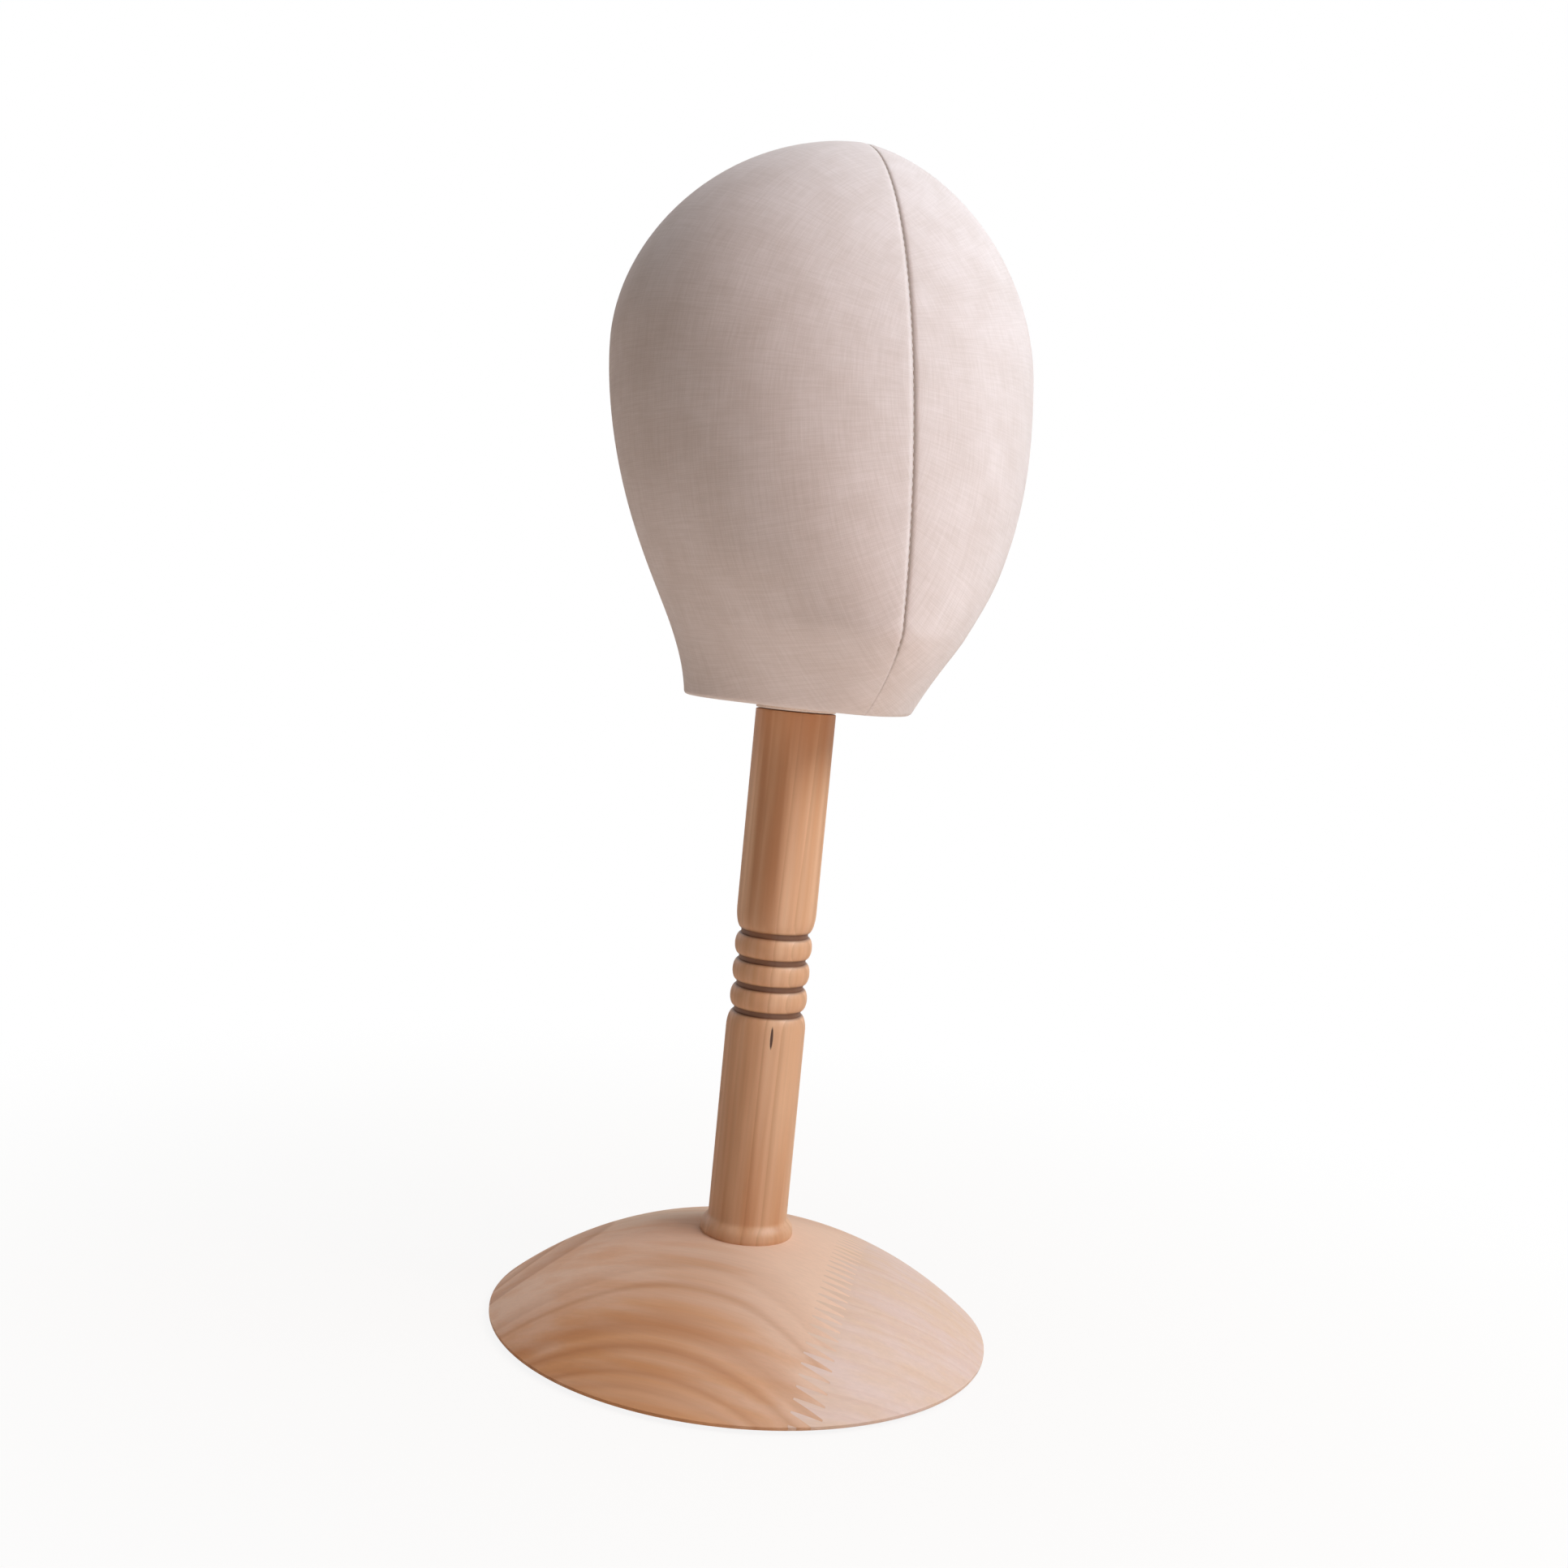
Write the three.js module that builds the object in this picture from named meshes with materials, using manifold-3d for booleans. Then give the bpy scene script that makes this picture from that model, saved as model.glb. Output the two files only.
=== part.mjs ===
// Baby mannequin head on a turned wooden stand.
// Millimetres, +Z up. Origin: on the axis of the pole, on the surface the stand rests on.
// The face looks along -Y; the joint in the base runs roughly from front to back on the +X side.
import * as THREE from 'three';
import { mergeVertices } from 'three/addons/utils/BufferGeometryUtils.js';
import Module from 'manifold-3d';

const wasm = await Module();
wasm.setup();

// Clearances
const partGap = 0.3;          // between pieces that are fitted or glued together
const turningGap = 0.3;       // between the head, its washer and the pole shoulder
const spigotClearance = 0.4;  // radial, spigot in the socket tube

// Felt feet
const footThickness = 1.5;
const footRadius = 8;
const footInset = 10;         // from the rim of the base to the edge of a foot
const footAngle = 40;         // degrees either side of the grain direction

// Base: a low dome turned from two blocks that are finger-jointed end to end
const baseRadius = 88;
const domeRise = 32.5;
const rimThickness = 1.2;
const rimRounding = 0.5;
const grainAngle = -32;       // direction of the grain and of the fingers, degrees from +X
const jointOffset = 36.5;     // from the pole axis to the middle of the joint
const fingerLength = 10;
const fingerPitch = 3.8;
const fingerTipWidth = 0.6;
const domeSteps = 9;

// Pole: one spindle, turned between centres
const poleRadius = 14;
const poleLength = 185.5;     // from the foot of the collar to the shoulder under the head
const beadInset = 0.4;        // how far the beads stay inside the pole's surface
const grooveDepth = 2.2;
const grooveFlat = 1.5;
const beadCount = 3;
const beadPitch = 9.2;
const beadBandRise = 94.7;    // from the foot of the collar to the middle of the beads
const upperShoulder = 7.5;    // height over which the upper pole rounds in to the first groove
const lowerShoulder = 5.8;
const collarLip = 2.5;        // how far the collar stands out from the pole
const collarHeight = 7.6;
const collarFoot = 1.4;       // straight foot of the collar
const collarUndercut = 0.4;
const collarBelly = 0.55;     // pull of the ogee curve at the collar's edge
const collarThroat = 0.3;     // pull of the ogee curve where it meets the pole
const footTenonRadius = 10;
const footTenonLength = 17;
const footTenonChamfer = 1;
const spigotRadius = 9;
const spigotLength = 58;
const spigotChamfer = 2;
const shoulderSteps = 4;
const beadSteps = 6;
const collarSteps = 5;

// Fixing under the base
const screwShankRadius = 2.4;
const screwLength = 40;
const screwPoint = 5;
const screwHeadRadius = 5;
const screwHeadHeight = 3.2;
const screwHeadFace = 4;      // radius of the head's flat end
const screwHeadBevel = 1.3;
const driveRadius = 2;
const driveDepth = 1.8;
const screwWasherRadius = 7;
const screwWasherThickness = 1.2;
const headRecess = 3;         // how deep the screw head lies in the base
const counterboreClearance = 1;
const screwHoleClearance = 0.5;
const pilotAllowance = 6;     // depth left free beyond the screw's point

// Swivel washer between pole and neck
const swivelThickness = 1.6;

// Head form, heights above the flat bottom of the neck, reaches from the pole axis
const headHeight = 189.5;
const crownForward = 7;
const frontProfile = {
  widest: 77.3, atHeight: 28, fullness: 1.86,
  lowerDrop: 7, neckReach: 55.5, neckRise: 4, neckSplay: 1.7,
};
const backProfile = {
  widest: 82, atHeight: 117, fullness: 1.88,
  lowerDrop: 22, neckReach: 51, neckRise: 56, neckSplay: 0.02,
};
const sideProfile = {
  widest: 73.6, atHeight: 118.5, fullness: 1.92,
  lowerDrop: 68, neckReach: 38, neckRise: 30, neckSplay: 0.18,
};
const breadthFollow = 0.56;   // how far the broadest line follows the middle of each section
const chinTaper = 0.4;        // share by which the front of the jaw draws in towards the seam
const chinTaperHeight = 50;   // height at which that drawing in has faded out

// Head construction
const linenThickness = 0.8;
const hemWidth = 9;           // cover turned in under the neck
const neckBoardThickness = 9;
const socketWall = 1.5;
const socketHeadroom = 9;     // from the end of the spigot to the end of the tube
const plugThickness = 4;

// Facets
const poleSides = 28;
const baseSides = 64;
const headSides = 36;
const smallSides = 20;
const jawStations = [0, 3, 7, 12, 18, 25, 34, 45, 58];
const crownStations = 14;
const profileSamples = 60;

// Reach of cutting boxes and prisms beyond what they cut
const cutReach = 600;
const cutMargin = 1;

// Materials
const colours = {
  linen: [0xddd0cb, 0.92, 0],
  foam: [0xe9e4d8, 0.95, 0],
  plywood: [0xc9a878, 0.8, 0],
  card: [0xd8cbbd, 0.9, 0],
  tube: [0xb79a72, 0.85, 0],
  felt: [0xecd9cc, 1.0, 0],
  pole: [0xc79667, 0.5, 0],
  leftBlock: [0xd4a27c, 0.55, 0],
  rightBlock: [0xdcb598, 0.55, 0],
  steel: [0xb8bbbf, 0.35, 0.9],
  footFelt: [0x8b7a68, 1.0, 0],
};

function material(name) {
  const [color, roughness, metalness] = colours[name];
  return new THREE.MeshStandardMaterial({ color, roughness, metalness });
}

const object = new THREE.Group();

function addPiece(name, geometry, finish) {
  const mesh = new THREE.Mesh(geometry, material(finish));
  mesh.name = name;
  object.add(mesh);
}

// Solids for cutting and joining

function toSolid(geometry) {
  const bare = geometry.clone();
  bare.deleteAttribute('normal');
  bare.deleteAttribute('uv');
  const merged = mergeVertices(bare, 1e-4);
  return new wasm.Manifold(new wasm.Mesh({
    numProp: 3,
    vertProperties: new Float32Array(merged.attributes.position.array),
    triVerts: new Uint32Array(merged.index.array),
  }));
}

function toGeometry(solid) {
  const mesh = solid.getMesh();
  const geometry = new THREE.BufferGeometry();
  geometry.setAttribute('position', new THREE.BufferAttribute(mesh.vertProperties, 3));
  geometry.setIndex(new THREE.BufferAttribute(mesh.triVerts, 1));
  return geometry;
}

// Slivers that a cut leaves loose, such as a finger's tip outside the rim, are left off.
function largestBody(solid) {
  const bodies = solid.decompose();
  return bodies.reduce((best, body) => (body.volume() > best.volume() ? body : best));
}

// A turned piece: profile points are [radius, height], revolved round the Z axis.
function turned(profile, sides) {
  const points = profile.map(([r, z]) => new THREE.Vector2(r, z));
  return new THREE.LatheGeometry(points, sides).rotateX(Math.PI / 2);
}

function disc(radius, bottom, top, sides = smallSides) {
  return turned([[0, bottom], [radius, bottom], [radius, top], [0, top]], sides);
}

function ring(inner, outer, bottom, top, sides = smallSides) {
  return turned(
    [[inner, bottom], [outer, bottom], [outer, top], [inner, top], [inner, bottom]], sides);
}

function extruded(shape, bottom, top) {
  const geometry = new THREE.ExtrudeGeometry(shape, { depth: top - bottom, bevelEnabled: false });
  return geometry.translate(0, 0, bottom);
}

// Everything on one side of a plane across axis x or z.
function halfSpace(axis, level, direction) {
  const box = new THREE.BoxGeometry(2 * cutReach, 2 * cutReach, 2 * cutReach);
  const centre = new THREE.Vector3();
  centre[axis] = level + direction * cutReach;
  return toSolid(box.translate(centre.x, centre.y, centre.z));
}

// Base

const collarRadius = poleRadius + collarLip;
const baseBottom = footThickness;
const capRadius = (baseRadius ** 2 + domeRise ** 2) / (2 * domeRise);
const capStart = baseBottom + rimThickness;
const domeTop = capStart + domeRise;
const seatRadius = collarRadius + partGap;
const seatLevel = capStart + Math.sqrt(capRadius ** 2 - seatRadius ** 2) - (capRadius - domeRise);
const tenonHoleFloor = seatLevel - footTenonLength;
const screwHoleRadius = screwShankRadius + screwHoleClearance;
const screwHeadBottom = baseBottom + headRecess;
const screwHeadTop = screwHeadBottom + screwHeadHeight;
const screwTip = screwHeadBottom + screwLength;
const screwWasherBottom = screwHeadTop + partGap;
const screwWasherTop = screwWasherBottom + screwWasherThickness;

function domeProfile() {
  const points = [[0, baseBottom], [baseRadius - rimRounding, baseBottom]];
  points.push([baseRadius, baseBottom + rimRounding], [baseRadius, capStart]);
  const halfAngle = Math.asin(baseRadius / capRadius);
  for (let i = 1; i <= domeSteps; i++) {
    const angle = halfAngle * (1 - i / domeSteps);
    points.push([
      i === domeSteps ? 0 : capRadius * Math.sin(angle),
      capStart + capRadius * Math.cos(angle) - (capRadius - domeRise),
    ]);
  }
  return points;
}

// Everything on the grain side of the zigzag joint line, moved on by shift along the grain.
function fingerRegion(shift, towardsRight) {
  const shape = new THREE.Shape();
  const reach = baseRadius + fingerPitch;
  const root = jointOffset - fingerLength / 2 + shift;
  const tip = jointOffset + fingerLength / 2 + shift;
  const far = towardsRight ? reach : -reach;
  const flat = fingerTipWidth / 2;
  const fingers = Math.ceil(reach / fingerPitch);
  shape.moveTo(far, -(fingers + 0.5) * fingerPitch);
  for (let i = -fingers; i <= fingers; i++) {
    const across = i * fingerPitch;
    shape.lineTo(root, across - fingerPitch / 2);
    if (i > -fingers) shape.lineTo(root, across - fingerPitch / 2 + flat);
    shape.lineTo(tip, across - flat);
    shape.lineTo(tip, across + flat);
    if (i < fingers) shape.lineTo(root, across + fingerPitch / 2 - flat);
  }
  shape.lineTo(root, (fingers + 0.5) * fingerPitch);
  shape.lineTo(far, (fingers + 0.5) * fingerPitch);
  const prism = extruded(shape, baseBottom - cutMargin, domeTop + cutMargin);
  return toSolid(prism.rotateZ(THREE.MathUtils.degToRad(grainAngle)));
}

function buildBase() {
  const dome = toSolid(turned(domeProfile(), baseSides))
    .subtract(toSolid(disc(seatRadius, seatLevel, domeTop + cutMargin, poleSides)))
    .subtract(toSolid(disc(
      footTenonRadius + partGap, tenonHoleFloor, domeTop + cutMargin, poleSides)))
    .subtract(toSolid(disc(
      screwHoleRadius, baseBottom - cutMargin, tenonHoleFloor + cutMargin)))
    .subtract(toSolid(disc(
      screwWasherRadius + counterboreClearance, baseBottom - cutMargin,
      screwWasherTop + partGap)));
  const left = largestBody(dome.intersect(fingerRegion(0, false)));
  const right = largestBody(dome.intersect(fingerRegion(partGap, true)));
  addPiece('base_block_left', toGeometry(left), 'leftBlock');
  addPiece('base_block_right', toGeometry(right), 'rightBlock');
}

function buildFeet() {
  const circle = baseRadius - footInset - footRadius;
  const angles = [footAngle, 180 - footAngle, 180 + footAngle, 360 - footAngle];
  angles.forEach((angle, i) => {
    const turn = THREE.MathUtils.degToRad(angle + grainAngle);
    const foot = disc(footRadius, 0, footThickness)
      .translate(circle * Math.cos(turn), circle * Math.sin(turn), 0);
    addPiece(`foot_pad_${i + 1}`, foot, 'footFelt');
  });
}

function buildScrew() {
  addPiece('base_screw_washer',
    ring(screwHoleRadius, screwWasherRadius, screwWasherBottom, screwWasherTop), 'steel');
  const screw = turned([
    [0, screwHeadBottom + driveDepth], [driveRadius, screwHeadBottom + driveDepth],
    [driveRadius, screwHeadBottom], [screwHeadFace, screwHeadBottom],
    [screwHeadRadius, screwHeadBottom + screwHeadBevel],
    [screwHeadRadius, screwHeadTop], [screwShankRadius, screwHeadTop],
    [screwShankRadius, screwTip - screwPoint], [0, screwTip],
  ], smallSides);
  addPiece('base_screw', screw, 'steel');
}

// Pole

const beadRadius = poleRadius - beadInset;
const grooveRadius = poleRadius - grooveDepth;
const collarBottom = seatLevel + partGap;
const shoulderTop = collarBottom + poleLength;
const spigotTop = shoulderTop + spigotLength;
const firstGroove = collarBottom + beadBandRise - (beadCount / 2) * beadPitch;
const lastGroove = firstGroove + beadCount * beadPitch;

// Quarter-round shoulder between the full pole and a groove.
function shoulderPoints(grooveHeight, height, direction) {
  const points = [];
  for (let i = 0; i <= shoulderSteps; i++) {
    const t = (Math.PI / 2) * (i / shoulderSteps);
    points.push([
      grooveRadius + (poleRadius - grooveRadius) * Math.sin(t),
      grooveHeight + direction * height * (1 - Math.cos(t)),
    ]);
  }
  return points;
}

// One bead: an arc that stands on two grooves.
function beadPoints(bottom, top) {
  const points = [];
  for (let i = 0; i <= beadSteps; i++) {
    const t = Math.PI * (i / beadSteps);
    points.push([
      grooveRadius + (beadRadius - grooveRadius) * Math.sin(t),
      bottom + (top - bottom) * (1 - Math.cos(t)) / 2,
    ]);
  }
  return points;
}

function collarPoints() {
  const start = collarBottom + collarFoot;
  const curve = new THREE.CubicBezierCurve(
    new THREE.Vector2(collarRadius, start),
    new THREE.Vector2(collarRadius, start + collarHeight * collarBelly),
    new THREE.Vector2(poleRadius, collarBottom + collarHeight * (1 - collarThroat)),
    new THREE.Vector2(poleRadius, collarBottom + collarHeight),
  );
  const curved = curve.getPoints(collarSteps).map(p => [p.x, p.y]);
  return [[collarRadius - collarUndercut, collarBottom], ...curved];
}

function buildPole() {
  const tenonBottom = collarBottom - footTenonLength;
  const pilotRadius = screwShankRadius + partGap;
  const pilotTop = screwTip + pilotAllowance;
  const profile = [
    [0, pilotTop], [pilotRadius, pilotTop], [pilotRadius, tenonBottom],
    [footTenonRadius - footTenonChamfer, tenonBottom],
    [footTenonRadius, tenonBottom + footTenonChamfer], [footTenonRadius, collarBottom],
    ...collarPoints(),
    ...shoulderPoints(firstGroove - grooveFlat / 2, lowerShoulder, -1).reverse(),
  ];
  for (let i = 0; i < beadCount; i++) {
    const bottom = firstGroove + i * beadPitch + grooveFlat / 2;
    profile.push(...beadPoints(bottom, bottom + beadPitch - grooveFlat));
  }
  profile.push(
    ...shoulderPoints(lastGroove + grooveFlat / 2, upperShoulder, 1),
    [poleRadius, shoulderTop], [spigotRadius, shoulderTop],
    [spigotRadius, spigotTop - spigotChamfer], [spigotRadius - spigotChamfer, spigotTop],
    [0, spigotTop],
  );
  addPiece('pole', turned(profile, poleSides), 'pole');
}

const swivelBottom = shoulderTop + turningGap;
const swivelTop = swivelBottom + swivelThickness;
const socketInner = spigotRadius + spigotClearance;

function buildSwivelWasher() {
  addPiece('swivel_washer',
    ring(socketInner, poleRadius, swivelBottom, swivelTop, poleSides), 'felt');
}

// Head

const neckBottom = swivelTop + turningGap;

// Reach of one profile at a height above the neck's bottom: a superellipse quarter from
// the crown to the widest point, and one Bezier curve from there to the neck.
function profileReach(profile, crown) {
  const lower = new THREE.CubicBezierCurve(
    new THREE.Vector2(profile.neckReach, 0),
    new THREE.Vector2(profile.neckReach + profile.neckSplay * profile.neckRise, profile.neckRise),
    new THREE.Vector2(profile.widest, profile.atHeight - profile.lowerDrop),
    new THREE.Vector2(profile.widest, profile.atHeight),
  ).getPoints(profileSamples);
  return height => {
    if (height >= profile.atHeight) {
      const s = Math.min(1, (height - profile.atHeight) / (headHeight - profile.atHeight));
      const bow = (1 - s ** profile.fullness) ** (1 / profile.fullness);
      return crown + (profile.widest - crown) * bow;
    }
    const i = lower.findIndex(p => p.y >= height);
    if (i <= 0) return lower[0].x;
    const t = (height - lower[i - 1].y) / (lower[i].y - lower[i - 1].y);
    return THREE.MathUtils.lerp(lower[i - 1].x, lower[i].x, t);
  };
}

const frontReach = profileReach(frontProfile, crownForward);
const backReach = profileReach(backProfile, -crownForward);
const sideReach = profileReach(sideProfile, 0);

// Heights of the loft's stations, close together at the jaw and towards the crown.
function stationHeights() {
  const heights = [...jawStations];
  const start = jawStations[jawStations.length - 1];
  for (let i = 1; i <= crownStations; i++) {
    heights.push(start + (headHeight - start) * Math.sin((Math.PI / 2) * (i / crownStations)));
  }
  return heights;
}

// The head's form drawn in by inset along its normal, as a closed loft of egg-shaped sections.
function headForm(inset) {
  const heights = stationHeights();
  const rings = heights.map((height, k) => sectionPoints(height, k === heights.length - 1));
  return insetLoft(rings, inset);
}

// How far in front of the pole axis a section is broadest.
function broadestLine(height) {
  return breadthFollow * (frontReach(height) - backReach(height)) / 2;
}

function sectionPoints(height, isCrown) {
  const front = frontReach(height);
  const back = backReach(height);
  const side = isCrown ? 0 : sideReach(height);
  const middle = broadestLine(height);
  const taper = chinTaper * (1 - THREE.MathUtils.smoothstep(height, 0, chinTaperHeight));
  const points = [];
  for (let i = 0; i < headSides; i++) {
    const angle = (2 * Math.PI * i) / headSides;
    const isFront = Math.sin(angle) < 0;
    const narrowed = isFront ? 1 - taper * Math.sin(angle) ** 2 : 1;
    const reach = isFront ? front - middle : back + middle;
    const y = isCrown ? -crownForward : -middle + reach * Math.sin(angle);
    points.push(new THREE.Vector3(
      side * Math.cos(angle) * narrowed, y, neckBottom + height));
  }
  return points;
}

function insetLoft(rings, inset) {
  const last = rings.length - 1;
  const normals = rings.map((row, k) => row.map((point, i) => {
    if (k === last) return new THREE.Vector3(0, 0, 1);
    const below = rings[Math.max(0, k - 1)][i];
    const above = rings[k + 1][i];
    const before = row[(i + headSides - 1) % headSides];
    const after = row[(i + 1) % headSides];
    const up = above.clone().sub(below);
    const along = after.clone().sub(before);
    return along.cross(up).normalize();
  }));
  const positions = [];
  rings.slice(0, last).forEach((row, k) => row.forEach((point, i) => {
    const moved = point.clone().addScaledVector(normals[k][i], -inset);
    if (k === 0) moved.z = point.z + inset;
    positions.push(moved.x, moved.y, moved.z);
  }));
  const crown = positions.length / 3;
  positions.push(0, -crownForward, neckBottom + headHeight - inset);
  const foot = crown + 1;
  positions.push(0, -broadestLine(0), neckBottom + inset);
  const index = [];
  for (let i = 0; i < headSides; i++) {
    const j = (i + 1) % headSides;
    for (let k = 0; k < last - 1; k++) {
      const a = k * headSides + i;
      const b = k * headSides + j;
      const c = a + headSides;
      const d = b + headSides;
      index.push(a, b, d, a, d, c);
    }
    index.push((last - 1) * headSides + i, (last - 1) * headSides + j, crown);
    index.push(j, i, foot);
  }
  const geometry = new THREE.BufferGeometry();
  geometry.setAttribute('position', new THREE.BufferAttribute(new Float32Array(positions), 3));
  geometry.setIndex(index);
  return toSolid(geometry);
}

// Plate with the outline of the neck, drawn in from its flat bottom's edge.
function neckPlate(drawnIn, bottom, top) {
  const outline = sectionPoints(0, false);
  const shape = new THREE.Shape(outline.map(p => {
    const length = Math.hypot(p.x, p.y);
    return new THREE.Vector2(p.x, p.y).multiplyScalar((length - drawnIn) / length);
  }));
  return toSolid(extruded(shape, bottom, top));
}

const coreInset = linenThickness + partGap;
const boardBottom = neckBottom + coreInset;
const boardTop = boardBottom + neckBoardThickness;
const socketOuter = socketInner + socketWall;
const socketTop = spigotTop + socketHeadroom;
const plugBottom = socketTop + partGap;
const plugTop = plugBottom + plugThickness;

function buildHead() {
  const outer = headForm(0);
  const inner = headForm(linenThickness);
  const hemTop = neckBottom + linenThickness;
  const window = neckPlate(hemWidth, neckBottom - cutMargin, hemTop + cutMargin);
  const cover = outer.subtract(inner).subtract(window);
  const rightHalf = cover.intersect(halfSpace('x', -partGap / 2, -1));
  const leftHalf = cover.intersect(halfSpace('x', partGap / 2, 1));
  addPiece('linen_cover_right', toGeometry(rightHalf), 'linen');
  addPiece('linen_cover_left', toGeometry(leftHalf), 'linen');

  const bore = toSolid(disc(socketOuter + partGap, neckBottom - cutMargin, plugTop + partGap));
  const body = headForm(coreInset).subtract(bore);
  const core = body.intersect(halfSpace('z', boardTop + partGap, 1));
  const board = body.intersect(halfSpace('z', boardTop, -1));
  addPiece('head_core', toGeometry(core), 'foam');
  addPiece('neck_board', toGeometry(board), 'plywood');

  const liner = neckPlate(hemWidth + partGap, neckBottom, hemTop)
    .subtract(toSolid(disc(socketInner, neckBottom - cutMargin, hemTop + cutMargin)));
  addPiece('neck_liner', toGeometry(liner), 'card');

  addPiece('socket_tube', ring(socketInner, socketOuter, boardBottom, socketTop), 'tube');
  addPiece('socket_plug', disc(socketOuter, plugBottom, plugTop), 'plywood');
}

buildFeet();
buildBase();
buildScrew();
buildPole();
buildSwivelWasher();
buildHead();

export default object;
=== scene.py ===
"""Looks of a faceless baby mannequin head in linen on a turned wooden stand.

Metres, +Z up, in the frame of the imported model: the pole stands on the Z axis and the face
looks along -Y.
"""
import math

import bmesh
import bpy
import numpy as np
from mathutils import Matrix, Vector


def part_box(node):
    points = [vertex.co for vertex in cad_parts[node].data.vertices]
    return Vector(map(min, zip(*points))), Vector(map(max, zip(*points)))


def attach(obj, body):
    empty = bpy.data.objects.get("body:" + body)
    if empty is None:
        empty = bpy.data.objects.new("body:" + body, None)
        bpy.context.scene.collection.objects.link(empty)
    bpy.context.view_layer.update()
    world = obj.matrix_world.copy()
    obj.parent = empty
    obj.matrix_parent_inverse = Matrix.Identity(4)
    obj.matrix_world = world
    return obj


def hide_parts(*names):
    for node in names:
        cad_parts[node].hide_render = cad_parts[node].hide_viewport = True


MM = 0.001
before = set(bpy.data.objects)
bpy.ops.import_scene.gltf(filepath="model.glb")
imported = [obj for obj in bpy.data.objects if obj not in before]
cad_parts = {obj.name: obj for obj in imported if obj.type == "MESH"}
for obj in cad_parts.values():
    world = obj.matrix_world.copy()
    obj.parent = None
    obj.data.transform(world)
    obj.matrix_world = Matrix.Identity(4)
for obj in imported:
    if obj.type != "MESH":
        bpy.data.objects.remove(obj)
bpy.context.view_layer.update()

# Sizes that the construction gives
BASE_RADIUS = 88 * MM
BASE_BOTTOM = 1.5 * MM
RIM_TOP = 2.7 * MM
DOME_RISE = 32.5 * MM
CAP_RADIUS = (BASE_RADIUS**2 + DOME_RISE**2) / (2 * DOME_RISE)
GRAIN_ANGLE = math.radians(-32)
JOINT_OFFSET = 36.5 * MM
FINGER_LENGTH = 10 * MM
FINGER_PITCH = 3.8 * MM
FINGER_TIP = 0.6 * MM
GLUE_LINE = 0.06 * MM
POLE_RADIUS = 14 * MM
SPIGOT_RADIUS = 9 * MM
TENON_RADIUS = 10 * MM
TENON_CHAMFER = 1 * MM
PILOT_RADIUS = 2.7 * MM
PILOT_DEPTH = 33 * MM
SOCKET_RADIUS = 10.3 * MM
SOCKET_DEPTH = 17 * MM
SCREW_HOLE_RADIUS = 2.9 * MM
COUNTERBORE_RADIUS = 8 * MM
COUNTERBORE_TOP = 9.5 * MM
COLLAR_RADIUS = 16.5 * MM
COLLAR_HEIGHT = 7.6 * MM
COLLAR_FOOT = 1.4 * MM
GROOVE_RADIUS = 11.8 * MM
BEAD_RADIUS = 13.6 * MM
BEAD_COUNT = 3
BEAD_PITCH = 9.2 * MM
GROOVE_FLAT = 1.5 * MM
LOWER_SHOULDER = 5.8 * MM
UPPER_SHOULDER = 7.5 * MM
HEAD_HEIGHT = 189.5 * MM
CROWN_FORWARD = 7 * MM
LINEN = 0.8 * MM
HEM = 9 * MM
NECK_ROUNDING = 1.3 * MM
WASHER_HOLE_RADIUS = 9.4 * MM
SEAM_GAP = 0.02 * MM
SEAM_HOLLOW = 0.26 * MM
SEAM_RIDGE = 0.1 * MM
STITCH_PITCH = 2.6 * MM
STITCH_LENGTH = 1.7 * MM
STITCH_THREAD = 0.36 * MM
STITCH_ARCH = 0.2 * MM

COLLAR_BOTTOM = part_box("base_block_left")[1].z - 0.75 * MM
POLE_BOTTOM, POLE_TOP = (corner.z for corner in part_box("pole"))
SWIVEL_BOTTOM, SWIVEL_TOP = (corner.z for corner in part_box("swivel_washer"))
NECK_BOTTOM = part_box("linen_cover_left")[0].z
SHOULDER = SWIVEL_BOTTOM - 0.3 * MM
BAND_MIDDLE = COLLAR_BOTTOM + 94.7 * MM

# Growth rings of the left block: distance from the pith in millimetres, share of dark wood
LEFT_RINGS = (
    (20, 0.1), (27, 0.7), (27.8, 0.15), (35, 0.8), (35.8, 0.2), (44, 0.7), (45, 0.1),
    (50, 0.05), (56, 0.12), (61.2, 0.5), (62, 0.3), (64.2, 0.4), (65.4, 0.8), (66.4, 0.4),
    (69.5, 0.38), (74.2, 0.85), (75.6, 0.7), (76.8, 0.3), (77.7, 0.55), (78.8, 1.0),
    (79.6, 0.65), (80.8, 0.35), (83.2, 0.6), (84, 0.85), (85, 0.3), (87, 0.55), (88.2, 0.25),
    (92, 0.6))

# The way that the pole's dark streak faces: painted core shade on the front-left, partly a darker
# wood streak
SHADED_STREAK_SIDE = (-0.73, -0.68, 0.0)

# Pitch pocket of the pole: the way it faces, the height of its middle, and its size
POCKET_SIDE = (-0.227, -0.974, 0.0)
POCKET_MIDDLE = 107 * MM
POCKET_WIDTH = 1.1 * MM
POCKET_LENGTH = 8.8 * MM


# Nodes

def add(tree, kind, inputs=None, **settings):
    """Adds a node; an input is a plain value or another node's output."""
    made = tree.nodes.new(kind)
    for name, value in settings.items():
        setattr(made, name, value)
    for key, value in (inputs or {}).items():
        if isinstance(value, bpy.types.NodeSocket):
            tree.links.new(value, made.inputs[key])
        else:
            made.inputs[key].default_value = value
    return made


def calc(tree, operation, *values):
    kind = "ShaderNodeMath"
    return add(tree, kind, dict(enumerate(values)), operation=operation).outputs[0]


def vector_calc(tree, operation, *values):
    kind = "ShaderNodeVectorMath"
    return add(tree, kind, dict(enumerate(values)), operation=operation).outputs[0]


def vector_number(tree, operation, *values):
    """The length of a vector, or the dot product of two."""
    kind = "ShaderNodeVectorMath"
    return add(tree, kind, dict(enumerate(values)), operation=operation).outputs["Value"]


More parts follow.
